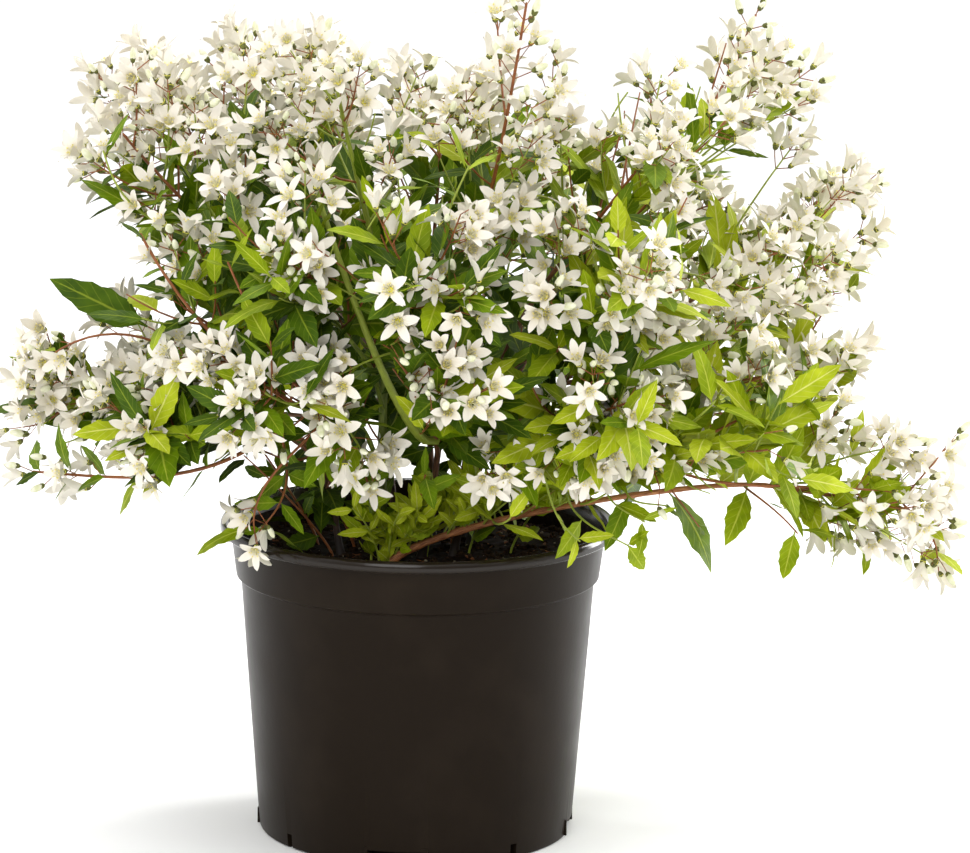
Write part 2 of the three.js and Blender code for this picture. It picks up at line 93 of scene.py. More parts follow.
def feed(node: bpy.types.Node, inputs: dict[str | int, object]) -> None:
    """Sets a node's inputs and properties, and links the inputs that another node feeds.

    Args:
        node: The node.
        inputs: For each input, by name or number, its value or the socket that feeds it. A name that
            none of its inputs has is one of its own properties.
    """
    for key, value in inputs.items():
        if not isinstance(key, int) and key not in node.inputs:
            setattr(node, key, value)
        elif isinstance(value, bpy.types.NodeSocket):
            node.id_data.links.new(value, node.inputs[key])
        else:
            node.inputs[key].default_value = value


def add_node(
    tree: bpy.types.NodeTree, kind: str, inputs: dict[str | int, object] | None = None
) -> bpy.types.NodeOutputs:
    """Adds one shader node with its settings and links.

    Args:
        tree: The node tree that it joins.
        kind: The node's type name, less the word that every shader node's name starts with.
        inputs: What its inputs and properties are set to or linked from.

    Returns:
        Its outputs.
    """
    made = tree.nodes.new(f"ShaderNode{kind}")
    feed(made, inputs or {})
    return made.outputs


def new_shader(name: str) -> tuple[bpy.types.Material, bpy.types.NodeTree, bpy.types.Node]:
    """Starts a material.

    Args:
        name: The material's name.

    Returns:
        The material, its node tree and its principled shader.
    """
    material = bpy.data.materials.new(name)
    material.use_nodes = True
    tree = material.node_tree
    return material, tree, tree.nodes["Principled BSDF"]


# Finishes


@dataclass(frozen=True)
class MouldedPolypropylene:
    """Injection-moulded black polypropylene: a soft satin sheen over a faint orange peel, with dust."""

    name: str = "polypropylene_moulded_black"
    body: str = "#1E1710"
    dust: str = "#332A21"
    roughness: float = 0.33
    peel_mm: float = 2.2
    dust_mm: float = 34.0
    gloss: float = 0.07
    lip_gloss: float = 0.3
    lip_polish: float = 0.45
    lip_mm: tuple[float, float] = (144.0, 147.0)

    def material(self) -> bpy.types.Material:
        """Makes the shader, whose gloss rises to a polish from the collar up to the handled lip."""
        made, tree, shader = new_shader(self.name)
        where = add_node(tree, "TexCoord")["Object"]
        pitch = 1 / (self.dust_mm * MM)
        cloud = add_node(tree, "TexNoise", {"Vector": where, "Scale": pitch, "Detail": 5.0})[0]
        thick = {"From Min": 0.5, "From Max": 0.9, "To Max": 0.35}
        dusty = add_node(tree, "MapRange", {"Value": cloud, **thick})[0]
        tones = {6: linear(self.body), 7: linear(self.dust)}
        duller = {"To Min": self.roughness - 0.04, "To Max": self.roughness + 0.1}
        sheen = add_node(tree, "MapRange", {"Value": cloud, "From Min": 0.3, "From Max": 0.8, **duller})[0]
        level = add_node(tree, "SeparateXYZ", {0: where})[2]
        lip = {"Value": level, "From Min": self.lip_mm[0] * MM, "From Max": self.lip_mm[1] * MM}
        polish = add_node(tree, "MapRange", {**lip, "To Min": 1.0, "To Max": self.lip_polish})[0]
        glint = {"To Min": self.gloss, "To Max": self.lip_gloss}
        pitch = 1 / (self.peel_mm * MM)
        peel = add_node(tree, "TexNoise", {"Vector": where, "Scale": pitch, "Detail": 2.0})[0]
        inputs = {
            "Base Color": add_node(tree, "Mix", {"data_type": "RGBA", 0: dusty, **tones})[2],
            "Roughness": add_node(tree, "Math", {"operation": "MULTIPLY", 0: sheen, 1: polish})[0],
            "Normal": add_node(tree, "Bump", {"Height": peel, "Strength": 0.12, "Distance": 0.2 * MM})[0],
            "IOR": 1.49,
            "Specular IOR Level": add_node(tree, "MapRange", {**lip, **glint})[0],
        }
        feed(shader, inputs)
        return made


@dataclass(frozen=True)
class SpeckledMatter:
    """Any matter of two mixed tones with a rough skin: compost, crumb, calyx, anther or soft stalk."""

    name: str
    dark: str
    light: str
    grain_mm: float
    roughness: float = 0.6
    relief_mm: float = 0.15
    gloss: float = 0.3

    def material(self) -> bpy.types.Material:
        """Makes the shader."""
        made, tree, shader = new_shader(self.name)
        where = add_node(tree, "TexCoord")["Object"]
        pitch = 1 / (self.grain_mm * MM)
        grain = add_node(tree, "TexNoise", {"Vector": where, "Scale": pitch, "Detail": 4.0})[0]
        share = add_node(tree, "MapRange", {"Value": grain, "From Min": 0.35, "From Max": 0.68})[0]
        tones = {6: linear(self.dark), 7: linear(self.light)}
        relief = {"Strength": 0.5, "Distance": self.relief_mm * MM}
        inputs = {
            "Base Color": add_node(tree, "Mix", {"data_type": "RGBA", 0: share, **tones})[2],
            "Normal": add_node(tree, "Bump", {"Height": grain, **relief})[0],
            "Roughness": self.roughness,
            "Specular IOR Level": self.gloss,
        }
        feed(shader, inputs)
        return made


@dataclass(frozen=True)
class Bark:
    """Thin bark that splits in long strips: streaks run along the limb, over a darker crack between them.

    Where a colour of painted shade is given, it darkens the limb from its foot in the moist compost up to a
    set level.
    """

    name: str
    strip: str
    crack: str
    strip_mm: float = 1.1
    roughness: float = 0.62
    foot_shade: str = ""
    shade_darkest_mm: float = 143.0
    shade_top_mm: float = 176.0

    def material(self) -> bpy.types.Material:
        """Makes the shader."""
        made, tree, shader = new_shader(self.name)
        along = add_node(tree, "UVMap")[0]
        long_strips = (1.2 / self.strip_mm, 0.06 / self.strip_mm, 1)
        stretch = add_node(tree, "Mapping", {"Vector": along, "Scale": long_strips})[0]
        streak = add_node(tree, "TexNoise", {"Vector": stretch, "Scale": 3.0, "Detail": 5.0})[0]
        share = add_node(tree, "MapRange", {"Value": streak, "From Min": 0.38, "From Max": 0.62})[0]
        tones = {6: linear(self.crack), 7: linear(self.strip)}
        colour = add_node(tree, "Mix", {"data_type": "RGBA", 0: share, **tones})[2]
        # Painted shade: the limb is darkest by the compost and clears towards its upper level.
        if self.foot_shade:
            level = add_node(tree, "SeparateXYZ", {0: add_node(tree, "TexCoord")["Object"]})[2]
            rise = {"From Min": self.shade_darkest_mm * MM, "From Max": self.shade_top_mm * MM}
            unshaded = add_node(tree, "MapRange", {"Value": level, **rise})[0]
            colour = add_node(tree, "Mix", {"data_type": "RGBA", 0: unshaded, 6: linear(self.foot_shade), 7: colour})[2]
        inputs = {
            "Base Color": colour,
            "Normal": add_node(tree, "Bump", {"Height": streak, "Strength": 0.6, "Distance": 0.25 * MM})[0],
            "Roughness": self.roughness,
        }
        feed(shader, inputs)
        return made


@dataclass(frozen=True)
class LeafBlade:
    """A living deutzia leaf: matt yellow green with a pale sunken midrib and side veins."""

    name: str
    blade: str
    shade: str
    vein: str
    veins: float = 7.0
    roughness: float = 0.56
    gloss: float = 0.14
    mottle_mm: float = 9.0

    def material(self) -> bpy.types.Material:
        """Makes the shader, whose veins slant forwards from the midrib to the edge."""
        made, tree, shader = new_shader(self.name)
        along, over, _ = add_node(tree, "SeparateXYZ", {0: add_node(tree, "UVMap")[0]})
        off_rib = add_node(tree, "Math", {"operation": "SUBTRACT", 0: over, 1: 0.5})[0]
        across = add_node(tree, "Math", {"operation": "ABSOLUTE", 0: off_rib})[0]
        rib_width = {"From Min": 0.015, "From Max": 0.05, "To Min": 1.0, "To Max": 0.0}
        rib = add_node(tree, "MapRange", {"Value": across, **rib_width})[0]
        steps = add_node(tree, "Math", {"operation": "MULTIPLY", 0: along, 1: self.veins})[0]
        slant = add_node(tree, "Math", {"operation": "MULTIPLY", 0: across, 1: 3.0})[0]
        rank = add_node(tree, "Math", {"operation": "SUBTRACT", 0: steps, 1: slant})[0]
        wave = add_node(tree, "Math", {"operation": "PINGPONG", 0: rank, 1: 0.5})[0]
        vein_width = {"From Min": 0.0, "From Max": 0.09, "To Min": 0.4, "To Max": 0.0}
        side_vein = add_node(tree, "MapRange", {"Value": wave, **vein_width})[0]
        veins = add_node(tree, "Math", {"operation": "MAXIMUM", 0: rib, 1: side_vein})[0]
        where = add_node(tree, "TexCoord")["Object"]
        pitch = 1 / (self.mottle_mm * MM)
        mottle = add_node(tree, "TexNoise", {"Vector": where, "Scale": pitch, "Detail": 3.0})[0]
        share = add_node(tree, "MapRange", {"Value": mottle, "From Min": 0.35, "From Max": 0.7})[0]
        tones = {6: linear(self.shade), 7: linear(self.blade)}
        veined = {6: add_node(tree, "Mix", {"data_type": "RGBA", 0: share, **tones})[2], 7: linear(self.vein)}
        pale = add_node(tree, "Math", {"operation": "MULTIPLY", 0: veins, 1: 0.75})[0]
        sunk = {"Strength": 0.55, "Distance": 0.35 * MM, "invert": True}
        inputs = {
            "Base Color": add_node(tree, "Mix", {"data_type": "RGBA", 0: pale, **veined})[2],
            "Normal": add_node(tree, "Bump", {"Height": veins, **sunk})[0],
            "Roughness": self.roughness,
            "Specular IOR Level": self.gloss,
        }
        feed(shader, inputs)
        return made


@dataclass(frozen=True)
class PetalSkin:
    """A thin white petal: satin, with faint lengthwise folds and a trace of green at its foot."""

    name: str
    white: str
    foot: str
    folds: float = 6.0
    roughness: float = 0.5

    def material(self) -> bpy.types.Material:
        """Makes the shader."""
        made, tree, shader = new_shader(self.name)
        along, over, _ = add_node(tree, "SeparateXYZ", {0: add_node(tree, "UVMap")[0]})
        rise = add_node(tree, "MapRange", {"Value": along, "From Min": 0.0, "From Max": 0.3})[0]
        tones = {6: linear(self.foot), 7: linear(self.white)}
        turns = add_node(tree, "Math", {"operation": "MULTIPLY", 0: over, 1: self.folds * 2 * math.pi})[0]
        fold = add_node(tree, "Math", {"operation": "SINE", 0: turns})[0]
        inputs = {
            "Base Color": add_node(tree, "Mix", {"data_type": "RGBA", 0: rise, **tones})[2],
            "Normal": add_node(tree, "Bump", {"Height": fold, "Strength": 0.3, "Distance": 0.12 * MM})[0],
            "Roughness": self.roughness,
        }
        feed(shader, inputs)
        return made


# Forms: corners and faces held as arrays until they become a mesh


@dataclass
class Form:
    """A surface as arrays.

    Args:
        corners: One row of three coordinates for each corner.
        faces: One row of four corner numbers for each face.
        places: One row of two surface coordinates for each corner.
    """

    corners: np.ndarray
    faces: np.ndarray
    places: np.ndarray

    def copies(self, frames: Sequence[np.ndarray]) -> Form:
        """Places one copy of the form in each frame.

        Args:
            frames: Matrices of four rows and four columns.

        Returns:
            All the copies as one form.
        """
        stack = np.stack(frames)
        moved = np.einsum("nij,vj->nvi", stack[:, :3, :3], self.corners) + stack[:, None, :3, 3]
        steps = np.arange(len(stack))[:, None, None] * len(self.corners)
        faces = (self.faces[None] + steps).reshape(-1, 4)
        return Form(moved.reshape(-1, 3), faces, np.tile(self.places, (len(stack), 1)))

    @staticmethod
    def join(forms: Iterable[Form]) -> Form:
        """Joins forms into one.

        Args:
            forms: The forms, each with corner numbers of its own.

        Returns:
            The joined form.
        """
        held = list(forms)
        starts = np.cumsum([0] + [len(f.corners) for f in held[:-1]])
        return Form(
            np.concatenate([f.corners for f in held]),
            np.concatenate([f.faces + s for f, s in zip(held, starts)]),
            np.concatenate([f.places for f in held]),
        )


def grid_faces(rows: int, columns: int, around: bool = False) -> np.ndarray:
    """Numbers the faces of a grid of corners.

    Args:
        rows: How many rows of corners it has.
        columns: How many corners a row has.
        around: Whether each row closes on itself.

    Returns:
        One row of four corner numbers for each face.
    """
    across = columns if around else columns - 1
    row, column = np.meshgrid(np.arange(rows - 1), np.arange(across), indexing="ij")
    row, column = row.ravel(), column.ravel()
    after = (column + 1) % columns
    first = row * columns
    return np.stack([first + column, first + after, first + columns + after, first + columns + column], 1)


def object_from(name: str, form: Form, material: bpy.types.Material, smooth: bool = True) -> bpy.types.Object:
    """Turns a form into an object in the scene.

    Args:
        name: The object's name.
        form: Its surface.
        material: Its one material.
        smooth: Whether its faces shade smoothly.

    Returns:
        The object.
    """
    mesh = bpy.data.meshes.new(name)
    faces = form.faces
    mesh.vertices.add(len(form.corners))
    mesh.vertices.foreach_set("co", form.corners.astype(np.float32).ravel())
    mesh.loops.add(faces.size)
    mesh.loops.foreach_set("vertex_index", faces.astype(np.int32).ravel())
    mesh.polygons.add(len(faces))
    mesh.polygons.foreach_set("loop_start", np.arange(len(faces), dtype=np.int32) * 4)
    mesh.polygons.foreach_set("use_smooth", np.full(len(faces), smooth))
    layer = mesh.uv_layers.new(name="surface")
    layer.data.foreach_set("uv", form.places[faces.ravel()].astype(np.float32).ravel())
    mesh.materials.append(material)
    mesh.update(calc_edges=True)
    mesh.validate(clean_customdata=False)
    piece = bpy.data.objects.new(name, mesh)
    bpy.context.scene.collection.objects.link(piece)
    return piece


def frame_of(origin: Vector, x_axis: Vector, y_axis: Vector, z_axis: Vector) -> np.ndarray:
    """Writes a placing matrix from an origin and three scaled axes.

    Args:
        origin: Where the copy stands.
        x_axis: The way and size of its X axis.
        y_axis: The way and size of its Y axis.
        z_axis: The way and size of its Z axis.

    Returns:
        The matrix of four rows and four columns.
    """
    held = np.identity(4)
    for column, vector in enumerate((x_axis, y_axis, z_axis, origin)):
        held[:3, column] = vector
    return held


def across_of(main: Vector, towards: Vector) -> tuple[Vector, Vector]:
    """Squares two directions to a main one.

    Args:
        main: The unit direction that stays.
        towards: The direction that the second one leans to.

    Returns:
        The unit direction square to both, and the unit one nearest to towards.
    """
    side = towards.cross(main)
    if side.length < 1e-5:
        side = Vector((main.z, main.x, main.y)).cross(main)
    side.normalize()
    return side, main.cross(side)


# Paths, tubes and rounds


def turns_of(sides: int) -> np.ndarray:
    """Gives the angles of evenly spaced corners round a circle."""
    return np.arange(sides) / sides * 2 * math.pi


class Path:
    """A Bezier curve that is walked by shares of its own length."""

    def __init__(self, controls: Sequence[Vector], samples: int = 48) -> None:
        """Samples the curve.

        Args:
            controls: Its three to five control points.
            samples: How many straight steps stand for it.
        """
        shares = np.linspace(0, 1, samples + 1)[:, None]
        order = len(controls) - 1
        points = np.zeros((samples + 1, 3))
        for i, control in enumerate(controls):
            weight = math.comb(order, i) * shares**i * (1 - shares) ** (order - i)
            points += weight * np.array(control)
        self.points = points
        steps = np.linalg.norm(np.diff(points, axis=0), axis=1)
        self.walked = np.concatenate([[0], np.cumsum(steps)])
        self.length = float(self.walked[-1])

    def at(self, share: float) -> Vector:
        """Gives the point at a share of the length."""
        place = share * self.length
        return Vector([float(np.interp(place, self.walked, self.points[:, k])) for k in range(3)])

    def heading(self, share: float) -> Vector:
        """Gives the unit direction of travel at a share of the length."""
        step = 0.02
        return (self.at(min(1.0, share + step)) - self.at(max(0.0, share - step))).normalized()


def tube_form(
    path: Path, radius_at: Callable[[float], float], sides: int, rings: int, relief: np.ndarray | None = None
) -> Form:
    """Sweeps a round section along a path, and closes its far end to a point.

    Args:
        path: The middle line.
        radius_at: The radius at a share of the length.
        sides: How many sides the section has.
        rings: How many sections there are.
        relief: A factor on the radius for each ring and side.

    Returns:
        The tube's form, with its surface coordinates in millimetres round and along it.
    """
    shares = np.linspace(0, 1, rings)
    middles = np.stack([np.interp(shares * path.length, path.walked, path.points[:, k]) for k in range(3)], 1)
    ahead = np.gradient(middles, axis=0)
    ahead /= np.linalg.norm(ahead, axis=1)[:, None]
    along_x = abs(ahead[0][0]) >= 0.8
    square = np.array((0.0, 1.0, 0.0) if along_x else (1.0, 0.0, 0.0))
    sideways = np.zeros_like(middles)
    for i, direction in enumerate(ahead):
        square = square - direction * square.dot(direction)
        square /= np.linalg.norm(square)
        sideways[i] = square
    other = np.cross(ahead, sideways)
    turns = turns_of(sides)
    radii = np.array([radius_at(float(s)) for s in shares])
    reach = np.repeat(radii[:, None], sides, axis=1)
    if relief is not None:
        reach = reach * relief
    ring = np.cos(turns)[None, :, None] * sideways[:, None] + np.sin(turns)[None, :, None] * other[:, None]
    corners = (middles[:, None] + ring * reach[..., None]).reshape(-1, 3)
    corners = np.concatenate([corners, np.repeat(middles[-1:] + ahead[-1:] * radii[-1], sides, axis=0)])
    run = np.append(shares, 1.0) * path.length / MM
    places = np.stack(np.meshgrid(turns * radii.mean() / MM, run), -1).reshape(-1, 2)
    return Form(corners, grid_faces(rings + 1, sides, around=True), places)


def round_form(
    radii: np.ndarray, heights: np.ndarray, run: np.ndarray, sides: int, unroll: float = 1.0
) -> Form:
    """Makes a form of rings round the vertical axis.

    Args:
        radii: The radius of each ring, as a column, or of each corner of each ring.
        heights: The level of each ring, as a column, or of each corner of each ring.
        run: The surface coordinate of each ring along the profile.
        sides: How many corners a ring has.
        unroll: What turns a corner's angle into its surface coordinate round the form.

    Returns:
        The form.
    """
    turns = turns_of(sides)
    x, y = radii * np.cos(turns), radii * np.sin(turns)
    corners = np.stack([x, y, np.broadcast_to(heights, x.shape)], -1).reshape(-1, 3)
    places = np.stack(np.meshgrid(turns * unroll, run), -1).reshape(-1, 2)
    return Form(corners, grid_faces(len(x), sides, around=True), places)


def turned_form(profile: Sequence[tuple[float, float]], segments: int) -> Form:
    """Turns a closed profile round the vertical axis.

    Args:
        profile: Radius and height of each point, in metres, in order.
        segments: How many flats the round has.

    Returns:
        The turned form, with its surface coordinates in millimetres.
    """
    radii, heights = np.array(profile).T[..., None]
    run = np.cumsum([0] + [math.dist(a, b) for a, b in zip(profile[:-1], profile[1:])]) / MM
    return round_form(radii, heights, run, segments, float(radii.max()) / MM)


# The plant's plan, in the frame's own sizes


class SeededRandom:
    """The growth rule's own run of random numbers."""

    def __init__(self, seed: int) -> None:
        """Starts the run at a seed."""
        self.state = seed & 0xFFFFFFFF

    def value(self) -> float:
        """Gives the next number from nought to one."""
        self.state = (self.state * 1664525 + 1013904223) & 0xFFFFFFFF
        return self.state / 4294967296

    def between(self, low: float, high: float) -> float:
        """Gives the next number between two limits."""
        return low + (high - low) * self.value()


class BarkKind(Enum):
    """How a limb's bark looks."""

    GREEN = "green"
    RUSSET = "russet"
    PEELING = "peeling"


GREEN, RUSSET, PEELING = BarkKind


@dataclass(frozen=True)
class Place:
    """A mass's centre as the source gives it, in degrees and millimetres, with its bloom and fullness."""

    turn: float
    reach: float
    height: float
    bloom: float = 0.6
    fullness: float = 1.0
    raceme: tuple[float, float] | None = None

    def point(self) -> Vector:
        """Gives the point in metres."""
        angle = math.radians(self.turn)
        flat = self.reach * MM
        return Vector((flat * math.cos(angle), flat * math.sin(angle), self.height * MM))


@dataclass(frozen=True)
class Cane:
    """One cane: where it stands, how it rises and the masses that it and its boughs carry."""

    turn: float
    radius: float
    masses: tuple[Place, ...]
    forks: tuple[float, ...]
    foot: tuple[float, float] | None = None
    rise: float = 62.0
    ease: float = 62.0
    bark: BarkKind = RUSSET


CANES = (
    Cane(
        347, 1.8, (Place(348, 213, 171, 0.75, 0.9), Place(328, 164, 201, 0.12, 0.85)), (0.36,),
        (248, 44), 18, 30, PEELING,
    ),
    Cane(8, 1.8, (Place(13, 175, 271, 0.95, raceme=(50, 18)), Place(0, 176, 223, 0.45, 0.9)), (0.55,)),
    Cane(
        36, 1.8,
        (Place(28, 148, 313, 0.75, 1, (45, 44)), Place(39, 192, 228, 0.8), Place(30, 180, 185, 0.2, 0.85)),
        (0.58, 0.36),
    ),
    Cane(74, 1.7, (Place(82, 61, 313, 0.6), Place(73, 168, 266, 0.5), Place(65, 166, 208, 0.5)), (0.5, 0.34)),
    Cane(
        112, 1.8, (Place(125, 104, 316, 0.9), Place(114, 164, 261, 0.7), Place(105, 155, 192, 0.45)),
        (0.55, 0.34),
    ),
    Cane(
        150, 1.7, (Place(152, 127, 319, 0.95), Place(137, 132, 253, 0.4), Place(143, 151, 187, 0.5, 0.85)),
        (0.45, 0.32),
    ),
    Cane(190, 1.9, (Place(187, 121, 313, 0.95), Place(218, 112, 250, 0.2)), (0.34,)),
    Cane(
        182, 1.7, (Place(182, 150, 202, 0.95, 0.85), Place(212, 128, 202, 0.3, 0.7)), (0.25,),
        (205, 40), 30, 70,
    ),
    Cane(
        232, 2.4, (Place(236, 60, 336, 0.9), Place(245, 110, 274, 0.3), Place(242, 128, 227, 0.5, 0.75)),
        (0.46, 0.28), bark=GREEN,
    ),
    Cane(
        272, 1.8,
        (Place(300, 70, 324, 0.85, 1, (48, 42)), Place(271, 130, 275, 0.6), Place(274, 130, 232, 0.35, 0.75)),
        (0.52, 0.34),
    ),
    Cane(
        312, 1.8, (Place(324, 112, 318, 0.55), Place(308, 139, 273, 0.65), Place(305, 141, 225, 0.25, 0.75)),
        (0.54, 0.34),
    ),
)


@dataclass
class Limb:
    """A cane or a bough, with the mass that grows on from its tip."""

    node: str
    is_cane: bool
    bark: BarkKind
    path: Path
    radius_at: Callable[[float], float]
    mass: Place
    number: int


@dataclass
class Skeleton:
    """Every limb of the plant, worked out as the frame's were."""

    compost_top: float = COMPOST_TOP
    heart_height: float = 196 * MM
    entry: float = 44 * MM
    foot_reach: float = 24.0
    sunk: float = 4 * MM
    thinning: float = 0.6
    flare: float = 0.65
    flare_share: float = 0.12
    bough_base: float = 1.3 * MM
    bough_tip: float = 0.95 * MM
    bough_lead: float = 26 * MM
    bough_ease: float = 34 * MM
    bough_splay: float = 0.75
    limbs: list[Limb] = field(default_factory=list)

    def __post_init__(self) -> None:
        """Grows the canes, and each cane's boughs after it."""
        boughs = 0
        for canes, cane in enumerate(CANES, 1):
            path = self.cane_path(cane)
            radius_at = self.cane_radius(cane)
            self.add(f"stem_{canes:02d}", cane, path, radius_at, cane.masses[0])
            for fork, mass in zip(cane.forks, cane.masses[1:]):
                boughs += 1
                bough = self.bough_path(path, fork, mass, radius_at(fork))
                self.add(f"bough_{boughs:02d}", cane, bough, self.bough_radius, mass)

    def add(
        self, node: str, cane: Cane, path: Path, radius_at: Callable[[float], float], mass: Place
    ) -> None:
        """Adds a limb, with its cane's bark and the next number."""
        is_cane = node.startswith("stem")
        self.limbs.append(Limb(node, is_cane, cane.bark, path, radius_at, mass, len(self.limbs)))

    def heading(self, mass: Place) -> Vector:
        """Gives the direction from the crown's heart to a mass."""
        return self.outward(mass.point())

    def outward(self, point: Vector) -> Vector:
        """Gives the direction from the crown's heart to a point."""
        return (point - Vector((0, 0, self.heart_height))).normalized()

    def tip(self, mass: Place) -> Vector:
        """Gives the point where a limb hands over to its mass."""
        return mass.point() - self.heading(mass) * self.entry

    def cane_path(self, cane: Cane) -> Path:
        """Gives a cane's middle line, from a little under the compost to its tip.

        Args:
            cane: The cane.

        Returns:
            The middle line.
        """
        turn, reach = cane.foot or (cane.turn, self.foot_reach)
        start = Place(turn, reach, 0).point() + UP * (self.compost_top - self.sunk)
        tip = self.tip(cane.masses[0])
        out = (tip - start) * Vector((1, 1, 0))
        out.normalize()
        first = start + UP * (cane.rise * MM + self.sunk) + out * (cane.rise * MM / 4)
        last = tip - self.heading(cane.masses[0]) * (cane.ease * MM)
        return Path((start, first, last, tip))

    def cane_radius(self, cane: Cane) -> Callable[[float], float]:
        """Gives a cane's radius along it, with its root flare.

        Args:
            cane: The cane.

        Returns:
            The radius in metres, for a share of the cane's length.
        """

        def radius_at(share: float) -> float:
            """Gives the radius at a share of the length."""
            taper = cane.radius * MM * (1 - (1 - self.thinning) * share)
            return taper * (1 + self.flare * max(0.0, 1 - share / self.flare_share) ** 2)

        return radius_at

    def bough_radius(self, share: float) -> float:
        """Gives a bough's radius along it."""
        return self.bough_base + (self.bough_tip - self.bough_base) * share

    def bough_path(self, cane: Path, fork: float, mass: Place, cane_radius: float) -> Path:
        """Gives a bough's middle line, from the face of its cane to its tip.

        Args:
            cane: The middle line of the cane that it forks off.
            fork: The share of the cane's length where it does.
            mass: The mass that it carries.
            cane_radius: The cane's radius there.

        Returns:
            The middle line.
        """
        start = cane.at(fork)
        tip = self.tip(mass)
        to_tip = (tip - start).normalized()
        leave = cane.heading(fork).lerp(to_tip, self.bough_splay).normalized()
        last = tip - self.heading(mass) * self.bough_ease
        return Path((start + leave * cane_radius * 0.5, start + leave * self.bough_lead, last, tip))


# Organs: leaves, flowers and buds


@dataclass(frozen=True)
class LeafShape:
    """One leaf, of unit length: a toothed lance that folds up along its midrib and arches over.

    The outline is a sine bent by three shares: belly draws its widest part towards the stalk, fullness
    rounds it out, and drawn_out narrows it into the long tip.
    """

    width: float = 0.36
    stations: int = 11
    belly: float = 0.78
    fullness: float = 0.74
    drawn_out: float = 0.16
    fold: float = 0.34
    arch: float = 0.7
    wave: float = 0.0
    waves: float = 9.0
    tooth: float = 0.13
    stalk: float = 0.08
    stalk_half: float = 0.012

    def form(self) -> Form:
        """Makes the leaf's form, lying along +X with its upper face to +Z."""
        shares = np.linspace(0, 1, self.stations)
        outline = np.sin(math.pi * shares**self.belly) ** self.fullness
        half = self.width / 2 * outline * (1 - self.drawn_out * shares**3)
        half[1:-1:2] *= 1 - self.tooth
        half[0] = 0.02
        half[-1] = 0.0
        shares = np.concatenate([[-self.stalk], shares])
        half = np.concatenate([[self.stalk_half], half])
        across = np.array([-1.0, -0.5, 0.0, 0.5, 1.0])
        along = shares[:, None] + self.tooth * 0.12 * np.abs(across)[None, :]
        over = half[:, None] * across[None, :]
        lift = self.fold * np.abs(over) - 0.2 * over**2 / self.width
        lift = lift + self.wave * np.sin(shares * self.waves)[:, None] * across[None, :] * half[:, None]
        angle = self.arch * np.maximum(along, 0)
        radius = 1 / self.arch
        x = np.where(along < 0, along, radius * np.sin(angle)) + lift * np.sin(angle)
        z = -radius * (1 - np.cos(angle)) + lift * np.cos(angle)
        corners = np.stack([x, over, z], -1).reshape(-1, 3)
        corners[:, 0] += self.stalk
        grid = np.stack(np.meshgrid((across + 1) / 2, np.clip(shares, 0, 1)), -1)[..., ::-1]
        return Form(corners, grid_faces(len(shares), len(across)), grid.reshape(-1, 2))


